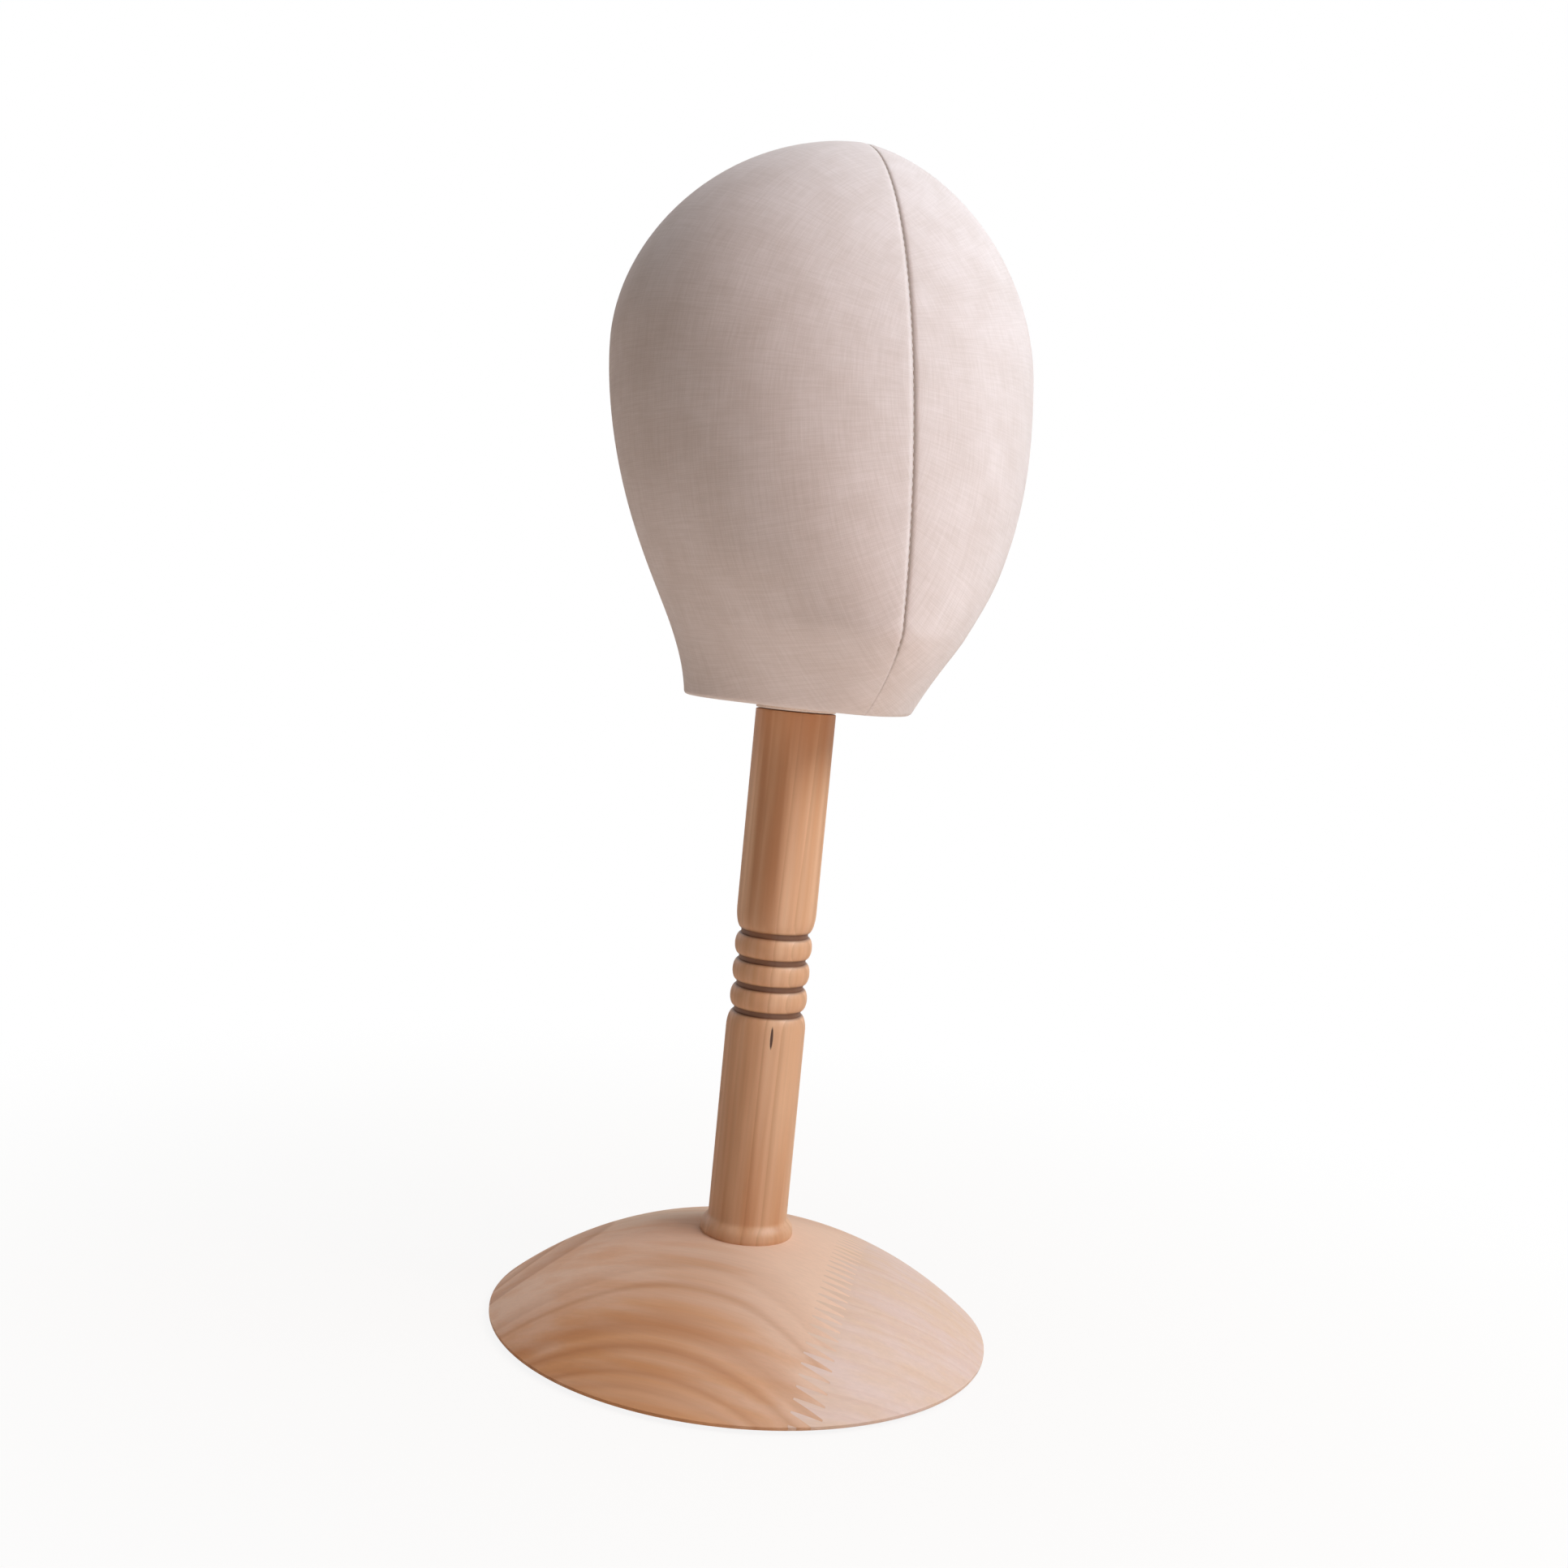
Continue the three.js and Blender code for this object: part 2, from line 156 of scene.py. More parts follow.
def noise(tree, vector, scale, detail=2.0, roughness=0.5):
    inputs = {"Vector": vector, "Scale": scale, "Detail": detail, "Roughness": roughness}
    return add(tree, "ShaderNodeTexNoise", inputs).outputs["Fac"]


def remap(tree, value, low, high, to_low=0.0, to_high=1.0, smooth=True):
    inputs = {"Value": value, "From Min": low, "From Max": high, "To Min": to_low,
              "To Max": to_high}
    kind = "SMOOTHSTEP" if smooth else "LINEAR"
    return add(tree, "ShaderNodeMapRange", inputs, interpolation_type=kind).outputs[0]


def mix_colours(tree, factor, a, b, blend="MIX"):
    made = add(tree, "ShaderNodeMix", {0: factor, 6: a, 7: b}, data_type="RGBA",
               blend_type=blend)
    return made.outputs[2]


def separate(tree, vector):
    return add(tree, "ShaderNodeSeparateXYZ", {0: vector}).outputs


def combine(tree, x, y, z):
    return add(tree, "ShaderNodeCombineXYZ", {0: x, 1: y, 2: z}).outputs[0]


FLOAT, VECTOR, WHOLE = "NodeSocketFloat", "NodeSocketVector", "NodeSocketInt"
SHAPE, FINISH = "NodeSocketGeometry", "NodeSocketMaterial"


def node_group(tree_kind, name, inputs, outputs):
    """A node tree with named sockets; returns it, its input and its output sockets."""
    tree = bpy.data.node_groups.new(name, tree_kind)
    for label, (kind, default) in inputs.items():
        socket = tree.interface.new_socket(label, in_out="INPUT", socket_type=kind)
        if default is not None:
            socket.default_value = default
    for label, kind in outputs.items():
        tree.interface.new_socket(label, in_out="OUTPUT", socket_type=kind)
    return tree, add(tree, "NodeGroupInput").outputs, add(tree, "NodeGroupOutput").inputs


def put_group(tree, group, inputs):
    return add(tree, "ShaderNodeGroup", inputs, node_tree=group).outputs


def colour(hex_value):
    """Linear colour from a hex code such as 'd9b48f'."""
    parts = [int(hex_value[i:i + 2], 16) / 255 for i in (0, 2, 4)]
    linear = [c / 12.92 if c <= 0.04045 else ((c + 0.055) / 1.055) ** 2.4 for c in parts]
    return (*linear, 1.0)


def new_material(name, roughness=0.6, **plain):
    """A material and its tree and Principled BSDF, with the plain sockets set."""
    made = bpy.data.materials.new(name)
    made.use_nodes = True
    tree = made.node_tree
    shader = tree.nodes["Principled BSDF"]
    shader.inputs["Roughness"].default_value = roughness
    for label, value in plain.items():
        shader.inputs[label.replace("_", " ")].default_value = value
    return made, tree, shader


def dress(tree, shader, tone, height, strength, distance):
    """Gives a shader its colour and its bump."""
    tree.links.new(tone, shader.inputs["Base Color"])
    made = add(tree, "ShaderNodeBump",
               {"Height": height, "Strength": strength, "Distance": distance})
    tree.links.new(made.outputs[0], shader.inputs["Normal"])


# Shared effects

def make_wood_grain():
    """Growth rings round the X axis of the coordinates, which is the pith, and fibres along it."""
    tree, given, result = node_group("ShaderNodeTree", "wood_grain", {
        "Coordinates": (VECTOR, None),
        "Ring Spacing": (FLOAT, 5 * MM),
        "Waviness": (FLOAT, 1.5 * MM),
        "Unevenness": (FLOAT, 0.5),
    }, {"Rings": FLOAT, "Fibres": FLOAT, "Streaks": FLOAT, "Clouds": FLOAT, "Reach": FLOAT})
    place = given["Coordinates"]
    along = vector_calc(tree, "MULTIPLY", place, (0.22, 1, 1))
    wander = calc(tree, "SUBTRACT", noise(tree, along, 22, 2), 0.5)
    x, y, z = separate(tree, place)
    reach = calc(tree, "SQRT", calc(
        tree, "ADD", calc(tree, "MULTIPLY", y, y), calc(tree, "MULTIPLY", z, z)))
    reach = calc(tree, "ADD", reach, calc(tree, "MULTIPLY", wander, given["Waviness"]))
    tree.links.new(reach, result["Reach"])
    years = calc(tree, "DIVIDE", reach, given["Ring Spacing"])
    uneven = noise(tree, combine(tree, years, 0.0, 0.0), 0.9, 1)
    years = calc(tree, "ADD", years, calc(
        tree, "MULTIPLY", calc(tree, "SUBTRACT", uneven, 0.5),
        calc(tree, "MULTIPLY", given["Unevenness"], 4)))
    season = calc(tree, "FRACT", years)
    late = calc(tree, "MULTIPLY", remap(tree, season, 0.25, 0.9),
                remap(tree, season, 0.93, 1.0, 1.0, 0.0))
    year = add(tree, "ShaderNodeTexWhiteNoise", {"W": calc(tree, "FLOOR", years)},
               noise_dimensions="1D").outputs["Value"]
    tree.links.new(calc(tree, "MULTIPLY", late, remap(tree, year, 0, 1, 0.45, 1.0)),
                   result["Rings"])
    fibre = noise(tree, vector_calc(tree, "MULTIPLY", place, (30, 1100, 1100)), 1.0, 4, 0.65)
    tree.links.new(fibre, result["Fibres"])
    streaks = noise(tree, vector_calc(tree, "MULTIPLY", place, (7, 210, 210)), 1.0, 2, 0.4)
    tree.links.new(streaks, result["Streaks"])
    clouds = noise(tree, vector_calc(tree, "MULTIPLY", place, (9, 45, 45)), 1.0, 2)
    tree.links.new(clouds, result["Clouds"])
    return tree


def make_plain_weave():
    """Two sets of crossing threads with slubs, for coordinates in metres on the cloth."""
    tree, given, result = node_group("ShaderNodeTree", "plain_weave", {
        "Coordinates": (VECTOR, None),
        "Thread": (FLOAT, 0.62 * MM),
        "Slub": (FLOAT, 0.5),
    }, {"Height": FLOAT, "Shade": FLOAT})
    u, v, _ = separate(tree, given["Coordinates"])
    bend = calc(tree, "MULTIPLY", calc(
        tree, "SUBTRACT", noise(tree, given["Coordinates"], 40, 2), 0.5), 1.4 * MM)
    u = calc(tree, "ADD", u, bend)
    v = calc(tree, "ADD", v, bend)
    across = calc(tree, "DIVIDE", u, given["Thread"])
    up = calc(tree, "DIVIDE", v, given["Thread"])
    across, up = (calc(tree, "MULTIPLY", count, math.pi) for count in (across, up))
    warp, weft = (calc(tree, "ABSOLUTE", calc(tree, "SINE", turn)) for turn in (across, up))
    check = calc(tree, "MULTIPLY", calc(tree, "COSINE", across), calc(tree, "COSINE", up))
    over = remap(tree, check, -0.35, 0.35)
    threads = add(tree, "ShaderNodeMix", {0: over, 2: warp, 3: weft}).outputs[0]
    slub_up, slub_across = (
        noise(tree, combine(tree, calc(tree, "MULTIPLY", u, by_u),
                            calc(tree, "MULTIPLY", v, by_v), layer), 1.0, 3, 0.6)
        for by_u, by_v, layer in ((1150, 60, 0.0), (60, 1150, 4.0)))
    slubs = calc(tree, "ADD", slub_up, slub_across)
    uneven = calc(tree, "MULTIPLY", calc(tree, "SUBTRACT", slubs, 1.0), given["Slub"])
    height = calc(tree, "ADD", calc(tree, "MULTIPLY", threads, 0.5), uneven)
    tree.links.new(height, result["Height"])
    shade = calc(tree, "ADD", calc(tree, "MULTIPLY", threads, 0.25),
                 calc(tree, "MULTIPLY", uneven, 1.5))
    tree.links.new(shade, result["Shade"])
    return tree


wood_grain = make_wood_grain()
plain_weave = make_plain_weave()


# Pieces made by Geometry Nodes

def shape_group(name, sizes):
    """A Geometry Nodes tree that takes a shape, named sizes and a material."""
    inputs = {"Geometry": (SHAPE, None), **sizes, "Material": (FINISH, None)}
    return node_group("GeometryNodeTree", name, inputs, {"Geometry": SHAPE})


def end_shape_group(tree, shape, given, result):
    """Makes the shape one plain mesh of the given material, and the tree's result."""
    solid = add(tree, "GeometryNodeRealizeInstances", {0: shape}).outputs[0]
    finished = add(tree, "GeometryNodeSetMaterial",
                   {"Geometry": solid, "Material": given["Material"]}).outputs[0]
    tree.links.new(finished, result[0])
    return tree


def seam_stitches():
    """Stitches at an even pitch along a line in the plane across X, arched out of the seam."""
    tree, given, result = shape_group("seam_stitches", {
        "Pitch": (FLOAT, STITCH_PITCH), "Length": (FLOAT, STITCH_LENGTH),
        "Thread": (FLOAT, STITCH_THREAD), "Arch": (FLOAT, STITCH_ARCH)})
    line = add(tree, "GeometryNodeMeshToCurve", {0: given["Geometry"]}).outputs[0]
    points = add(tree, "GeometryNodeResampleCurve",
                 {"Curve": line, "Length": given["Pitch"]}, mode="LENGTH").outputs[0]
    half = calc(tree, "MULTIPLY", given["Length"], 0.5)
    back = calc(tree, "MULTIPLY", half, -1.0)
    down = calc(tree, "MULTIPLY", given["Arch"], -1.0)
    arch = add(tree, "GeometryNodeCurveQuadraticBezier", {
        "Resolution": 6, "Start": combine(tree, back, 0.0, down),
        "Middle": combine(tree, 0.0, 0.0, calc(tree, "MULTIPLY", given["Arch"], 2.0)),
        "End": combine(tree, half, 0.0, down)}).outputs[0]
    radius = calc(tree, "MULTIPLY", given["Thread"], 0.5)
    section = add(tree, "GeometryNodeCurvePrimitiveCircle",
                  {"Resolution": 6, "Radius": radius}).outputs[0]
    stitch = add(tree, "GeometryNodeCurveToMesh",
                 {"Curve": arch, "Profile Curve": section, "Fill Caps": True}).outputs[0]
    along = add(tree, "GeometryNodeInputTangent").outputs[0]
    outward = vector_calc(tree, "CROSS_PRODUCT", (1, 0, 0), along)
    facing = add(tree, "FunctionNodeAxesToRotation", {0: outward, 1: along},
                 primary_axis="Z", secondary_axis="X").outputs[0]
    row = add(tree, "GeometryNodeInstanceOnPoints",
              {"Points": points, "Instance": stitch, "Rotation": facing}).outputs[0]
    return end_shape_group(tree, row, given, result)


def share_of(tree, value, whole):
    """The part that a value is of a whole, kept between 0 and 1."""
    made = add(tree, "ShaderNodeMath", {0: value, 1: whole}, operation="DIVIDE", use_clamp=True)
    return made.outputs[0]


def beaded_rod():
    """Turns a band of beads between grooves into a plain rod, with a shoulder at each end."""
    tree, given, result = shape_group("beaded_rod", {
        "Lowest Groove": (FLOAT, BAND_MIDDLE), "Pitch": (FLOAT, BEAD_PITCH),
        "Count": (WHOLE, BEAD_COUNT), "Groove Width": (FLOAT, GROOVE_FLAT),
        "Groove Radius": (FLOAT, GROOVE_RADIUS), "Bead Radius": (FLOAT, BEAD_RADIUS),
        "Rod Radius": (FLOAT, POLE_RADIUS), "Lower Shoulder": (FLOAT, LOWER_SHOULDER),
        "Upper Shoulder": (FLOAT, UPPER_SHOULDER)})
    x, y, z = separate(tree, add(tree, "GeometryNodeInputPosition").outputs[0])
    rise = calc(tree, "SUBTRACT", z, given["Lowest Groove"])
    band = calc(tree, "MULTIPLY", given["Pitch"], given["Count"])
    half = calc(tree, "MULTIPLY", given["Groove Width"], 0.5)
    in_band = calc(tree, "MULTIPLY", calc(tree, "GREATER_THAN", rise, 0.0),
                   calc(tree, "LESS_THAN", rise, band))
    bead = share_of(tree, calc(tree, "SUBTRACT", calc(
        tree, "FLOORED_MODULO", rise, given["Pitch"]), half),
        calc(tree, "SUBTRACT", given["Pitch"], given["Groove Width"]))
    round_bead = calc(tree, "SQRT", calc(
        tree, "MULTIPLY", bead, calc(tree, "SUBTRACT", 1.0, bead)))
    bead_depth = calc(tree, "SUBTRACT", given["Bead Radius"], given["Groove Radius"])
    out = calc(tree, "MULTIPLY", calc(tree, "MULTIPLY", round_bead, 2.0),
               calc(tree, "MULTIPLY", bead_depth, in_band))
    below = calc(tree, "SUBTRACT", calc(tree, "MULTIPLY", half, -1.0), rise)
    above = calc(tree, "SUBTRACT", calc(tree, "SUBTRACT", rise, band), half)
    rod_depth = calc(tree, "SUBTRACT", given["Rod Radius"], given["Groove Radius"])
    for past, shoulder in ((below, given["Lower Shoulder"]), (above, given["Upper Shoulder"])):
        share = share_of(tree, past, shoulder)
        bend = calc(tree, "SQRT", calc(
            tree, "MULTIPLY", share, calc(tree, "SUBTRACT", 2.0, share)))
        out = calc(tree, "MAXIMUM", out, calc(tree, "MULTIPLY", bend, rod_depth))
    reach = calc(tree, "SQRT", calc(
        tree, "ADD", calc(tree, "MULTIPLY", x, x), calc(tree, "MULTIPLY", y, y)))
    scale = calc(tree, "DIVIDE", calc(tree, "ADD", given["Groove Radius"], out), reach)
    touched = calc(tree, "MULTIPLY", calc(tree, "LESS_THAN", below, given["Lower Shoulder"]),
                   calc(tree, "LESS_THAN", above, given["Upper Shoulder"]))
    turned_down = add(tree, "GeometryNodeSetPosition", {
        "Geometry": given["Geometry"], "Selection": touched,
        "Position": combine(tree, calc(tree, "MULTIPLY", x, scale),
                            calc(tree, "MULTIPLY", y, scale), z)}).outputs[0]
    return end_shape_group(tree, turned_down, given, result)


# Materials

def object_coordinates(tree):
    return add(tree, "ShaderNodeTexCoord").outputs["Object"]


def log_coordinates(tree, turn, offset):
    """Object coordinates with X along the grain and the pith moved to offset, in metres."""
    turned = add(tree, "ShaderNodeMapping", {
        "Vector": object_coordinates(tree), "Rotation": turn, "Location": offset,
    }, vector_type="POINT")
    return turned.outputs[0]


def grained(tree, grain, depth, rings, light, deep, dark):
    """Colour of planed wood: a light tone that deepens, dark late wood, fine streaks."""
    depth = calc(tree, "ADD", depth, remap(tree, grain["Clouds"], 0.25, 0.75, -0.2, 0.2))
    depth = calc(tree, "ADD", depth, remap(tree, grain["Streaks"], 0.25, 0.75, -0.25, 0.25))
    tone = mix_colours(tree, remap(tree, depth, 0.0, 1.0, smooth=False), light, deep)
    tone = mix_colours(tree, rings, tone, dark)
    streak = remap(tree, grain["Fibres"], 0.25, 0.75, 0.96, 1.03)
    return mix_colours(tree, 1.0, tone, combine(tree, streak, streak, streak), "MULTIPLY")


def left_block_wood():
    """Wood with broad curved growth rings: each one darkens away from the pith and then ends."""
    made, tree, shader = new_material("left_block_wood", 0.6, Specular_IOR_Level=0.35)
    log = log_coordinates(tree, (0, 0, math.radians(40.5)), (0, 0, 20 * MM))
    grain = put_group(tree, wood_grain, {"Coordinates": log, "Waviness": 1.1 * MM})
    near_joint = remap(tree, separate(tree, log)[0], -10 * MM, 40 * MM)
    ramp = add(tree, "ShaderNodeValToRGB", {0: calc(tree, "DIVIDE", grain["Reach"], 100 * MM)})
    stops = ramp.color_ramp.elements
    for reach, share in LEFT_RINGS:
        stop = stops.new(reach / 100)
        stop.color = (share, share, share, 1)
    stops.remove(stops[0])
    stops.remove(stops[-1])
    rings = calc(tree, "MULTIPLY", ramp.outputs[0],
                 remap(tree, grain["Clouds"], 0.2, 0.8, 0.65, 0.95))
    rings = calc(tree, "MULTIPLY", rings, remap(tree, near_joint, 0, 1, 1.0, 0.65, smooth=False))
    depth = remap(tree, grain["Reach"], 57 * MM, 76 * MM, 0.1, 0.85)
    depth = calc(tree, "SUBTRACT", depth, calc(tree, "MULTIPLY", near_joint, 0.5))
    tone = grained(tree, grain, depth, rings, colour("f6d2b8"), colour("e4a877"),
                   colour("b67648"))
    dress(tree, shader, tone, grain["Fibres"], 0.12, 0.05 * MM)
    return made


def right_block_wood():
    """Paler, pinker wood with faint straight lines that slant over the dome."""
    made, tree, shader = new_material("right_block_wood", 0.6, Specular_IOR_Level=0.35)
    grain = put_group(tree, wood_grain, {
        "Coordinates": log_coordinates(tree, (0, 0, math.radians(20)), (0, 0.19, 0.05)),
        "Ring Spacing": 6.5 * MM, "Waviness": 2.6 * MM, "Unevenness": 0.8})
    rings = calc(tree, "MULTIPLY", grain["Rings"], 0.22)
    height = separate(tree, object_coordinates(tree))[2]
    depth = remap(tree, height, 20 * MM, 33 * MM, 0.3, 0.8)
    tone = grained(tree, grain, depth, rings, colour("e8ccbf"), colour("e6c3a4"),
                   colour("d2a28a"))
    dress(tree, shader, tone, grain["Fibres"], 0.12, 0.05 * MM)
    return made


def pole_wood():
    """Warm wood with soft upright streaks, painted shade in the grooves, a painted shade streak at
    the front-left, painted shadow of the head at the top, and one small pitch pocket.
    """
    made, tree, shader = new_material("pole_wood", 0.5, Coat_Weight=0.1, Coat_Roughness=0.35)
    grain = put_group(tree, wood_grain, {
        "Coordinates": log_coordinates(tree, (0, math.radians(88.8), 0), (0, 0.028, 0.012)),
        "Ring Spacing": 6.5 * MM, "Waviness": 3 * MM, "Unevenness": 0.9})
    rings = calc(tree, "MULTIPLY", grain["Rings"], 0.3)
    tone = grained(tree, grain, 0.5, rings, colour("efc6a2"), colour("cd9062"),
                   colour("b0774a"))
    x, y, z = separate(tree, object_coordinates(tree))
    flat = combine(tree, x, y, 0.0)
    radius = vector_number(tree, "LENGTH", flat)
    reach = calc(tree, "ABSOLUTE", calc(tree, "SUBTRACT", z, BAND_MIDDLE))
    # Painted shade in the grooves of the bead band: dark brown where the rod is turned down to
    # near the groove radius.
    groove = calc(tree, "MULTIPLY", remap(tree, radius, 12.0 * MM, 13.1 * MM, 1.0, 0.0),
                  remap(tree, reach, 16 * MM, 17 * MM, 1.0, 0.0))
    tone = mix_colours(tree, calc(tree, "MULTIPLY", groove, 0.85), tone, colour("5a2f17"))
    outward = vector_calc(tree, "NORMALIZE", flat)
    # A dark streak up the front-left of the upper pole: painted core shade, partly a darker wood
    # streak.
    shade_and_streak = calc(tree, "ADD", vector_number(tree, "DOT_PRODUCT", outward, SHADED_STREAK_SIDE),
                 remap(tree, grain["Streaks"], 0.2, 0.8, -0.05, 0.05))
    shade_and_streak = calc(tree, "MULTIPLY", remap(tree, shade_and_streak, 0.86, 1.0),
                 remap(tree, z, 118 * MM, 170 * MM, 0.0, 0.55))
    # Darker towards the top of the pole: painted shadow of the head, partly darker wood.
    shade_and_streak = calc(tree, "MAXIMUM", shade_and_streak, remap(tree, z, 185 * MM, 220 * MM, 0.0, 0.5))
    tone = mix_colours(tree, shade_and_streak, tone, colour("a2622f"))
    facing = vector_number(tree, "DOT_PRODUCT", outward, POCKET_SIDE)
    sideways = (-POCKET_SIDE[1], POCKET_SIDE[0], 0)
    across = calc(tree, "DIVIDE", vector_number(tree, "DOT_PRODUCT", flat, sideways),
                  POCKET_WIDTH / 2)
    along = calc(tree, "DIVIDE", calc(tree, "SUBTRACT", z, POCKET_MIDDLE), POCKET_LENGTH / 2)
    size = calc(tree, "ADD", calc(tree, "MULTIPLY", across, across),
                calc(tree, "MULTIPLY", along, along))
    pocket = calc(tree, "MULTIPLY", remap(tree, size, 0.45, 1.0, 1.0, 0.0),
                  calc(tree, "GREATER_THAN", facing, 0.9))
    tone = mix_colours(tree, pocket, tone, colour("4a2916"))
    height = calc(tree, "SUBTRACT", calc(tree, "MULTIPLY", grain["Fibres"], 0.06), pocket)
    dress(tree, shader, tone, height, 0.6, 0.3 * MM)
    return made


def linen():
    """Linen of the cover. The seam map holds the distance from the seam and the way along it."""
    made, tree, shader = new_material("linen_cloth", 0.92, Sheen_Weight=0.15,
                                      Specular_IOR_Level=0.25)
    cloth = add(tree, "ShaderNodeUVMap", uv_map="cloth").outputs[0]
    weave = put_group(tree, plain_weave, {"Coordinates": cloth})
    tone = mix_colours(tree, remap(tree, weave["Shade"], -0.1, 0.45),
                       colour("dcd1cd"), colour("e8dedc"))
    mottle = add(tree, "ShaderNodeMix", {
        0: remap(tree, noise(tree, cloth, 55, 4, 0.6), 0.3, 0.7), 6: (0.95, 0.935, 0.92, 1),
        7: (1.02, 1.02, 1.02, 1)}, data_type="RGBA").outputs[2]
    tone = mix_colours(tree, 1.0, tone, mottle, "MULTIPLY")
    away, along, _ = separate(tree, add(tree, "ShaderNodeUVMap", uv_map="seam").outputs[0])
    # Painted shade in the seam's hollow: the linen darkens within 0.8 mm of the seam, less towards
    # the neck, where the hollow runs out.
    line = remap(tree, away, 0.1 * MM, 0.8 * MM, 1.0, 0.0)
    line = calc(tree, "MULTIPLY", line, remap(tree, along, 15 * MM, 32 * MM, 0.0, 0.4))
    tone = mix_colours(tree, line, tone, colour("a8958a"))
    near = remap(tree, away, 0.3 * MM, 4 * MM, 1.0, 0.0)
    pulls = calc(tree, "SINE", calc(tree, "MULTIPLY", along, 2 * math.pi / STITCH_PITCH))
    pucker = calc(tree, "MULTIPLY", calc(tree, "MULTIPLY", pulls, near), 0.5)
    dress(tree, shader, tone, calc(tree, "ADD", weave["Height"], pucker), 0.2, 0.12 * MM)
    return made


def liner_cloth():
    """Linen glued flat on card, for the disc under the neck."""
    made, tree, shader = new_material("liner_cloth", 0.92, Sheen_Weight=0.1)
    weave = put_group(tree, plain_weave, {"Coordinates": object_coordinates(tree)})
    tone = mix_colours(tree, remap(tree, weave["Shade"], -0.1, 0.45),
                       colour("c7b8aa"), colour("ddd0c4"))
    dress(tree, shader, tone, weave["Height"], 0.35, 0.12 * MM)
    return made


def speckled(name, dark, light, scale, roughness, height=0.1, **plain):
    """Felt, foam, card and metal: a fine grain between two tones."""
    made, tree, shader = new_material(name, roughness, **plain)
    fine = noise(tree, object_coordinates(tree), scale, 4, 0.7)
    tone = mix_colours(tree, remap(tree, fine, 0.3, 0.7), dark, light)
    dress(tree, shader, tone, fine, height, 0.1 * MM)
    return made


def plywood():
    made, tree, shader = new_material("plywood", 0.75)
    place = object_coordinates(tree)
    height = separate(tree, place)[2]
    ply = calc(tree, "FRACT", calc(tree, "DIVIDE", height, 3 * MM))
    band = remap(tree, ply, 0.45, 0.55)
    tone = mix_colours(tree, band, colour("caa679"), colour("b48a5c"))
    dress(tree, shader, tone, noise(tree, place, 900, 3), 0.2, 0.1 * MM)
    return made


def make_finishes():
    return {
        "linen": linen(),
        "liner": liner_cloth(),
        "thread": speckled("linen_thread", colour("a39184"), colour("c2b3a8"), 3000, 0.8),
        "pole": pole_wood(),
        "left": left_block_wood(),
        "right": right_block_wood(),
        "felt": speckled("pale_felt", colour("d9c4b6"), colour("efe0d6"), 2600, 1.0, 0.6,
                         Sheen_Weight=0.3),
        "foot": speckled("foot_felt", colour("6f6050"), colour("93836f"), 2600, 1.0, 0.6,
                         Sheen_Weight=0.3),
        "steel": speckled("zinc_plated_steel", colour("a9adb3"), colour("c9ccd1"), 1500, 0.34,
                          0.05, Metallic=1.0),
        "foam": speckled("head_foam", colour("dcd5c5"), colour("ece7da"), 700, 0.95, 0.5),
        "card": speckled("socket_card", colour("a58a63"), colour("bfa57c"), 500, 0.9, 0.2),
        "plywood": plywood(),
    }


finishes = make_finishes()


# Meshes

def add_object(name, data):
    made = bpy.data.objects.new(name, data)
    bpy.context.scene.collection.objects.link(made)
    return made


def with_modifiers(source):
    """The plain mesh that an object's modifiers make."""
    graph = bpy.context.evaluated_depsgraph_get()
    return bpy.data.meshes.new_from_object(source.evaluated_get(graph))


def new_piece(name, mesh, finish, body, slot, *nodes):
    """Puts a finished mesh in the scene, on its CAD body and for its CAD nodes."""
    piece = add_object(name, mesh)
    mesh.materials.clear()
    mesh.materials.append(finishes[finish])
    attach(piece, body)
    if nodes:
        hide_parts(*nodes)
    return piece


def smooth(mesh, angle=32):
    mesh.shade_smooth()
    mesh.set_sharp_from_angle(angle=math.radians(angle))


def mesh_of(name, vertices, faces):
    mesh = bpy.data.meshes.new(name)
    mesh.from_pydata([tuple(v) for v in vertices], [], faces)
    mesh.update()
    return mesh


def weld(mesh):
    """Merges the points that lie on one another."""
    solid = bmesh.new()
    solid.from_mesh(mesh)
    bmesh.ops.remove_doubles(solid, verts=solid.verts, dist=1e-6)
    solid.to_mesh(mesh)
    solid.free()


def grown(name, mesh, tree, values):
    """The plain mesh that a Geometry Nodes tree makes from another mesh."""
    source = add_object(name, mesh)
    step = source.modifiers.new("grow", "NODES")
    step.node_group = tree
    for item in tree.interface.items_tree:
        if item.item_type == "SOCKET" and item.in_out == "INPUT" and item.name in values:
            step[item.identifier] = values[item.name]
    made = with_modifiers(source)
    bpy.data.objects.remove(source)
    return made


def turned(name, profile, sides):
    """A piece turned round the Z axis. The profile starts and ends on the axis, or is a loop."""
    closed = profile[0] == profile[-1]
    points = profile[:-1] if closed else profile
    vertices, rows = [], []
    for radius, height in points:
        if radius < 1e-7:
            rows.append([len(vertices)] * sides)
            vertices.append((0, 0, height))
            continue
        rows.append(list(range(len(vertices), len(vertices) + sides)))
        for i in range(sides):
            angle = 2 * math.pi * i / sides
            vertices.append((radius * math.cos(angle), radius * math.sin(angle), height))
    faces = []
    pairs = list(zip(rows, rows[1:])) + ([(rows[-1], rows[0])] if closed else [])
    for low, high in pairs:
        for i in range(sides):
            j = (i + 1) % sides
            corners = list(dict.fromkeys([low[i], low[j], high[j], high[i]]))
            if len(corners) > 2:
                faces.append(corners)
    return mesh_of(name, vertices, faces)


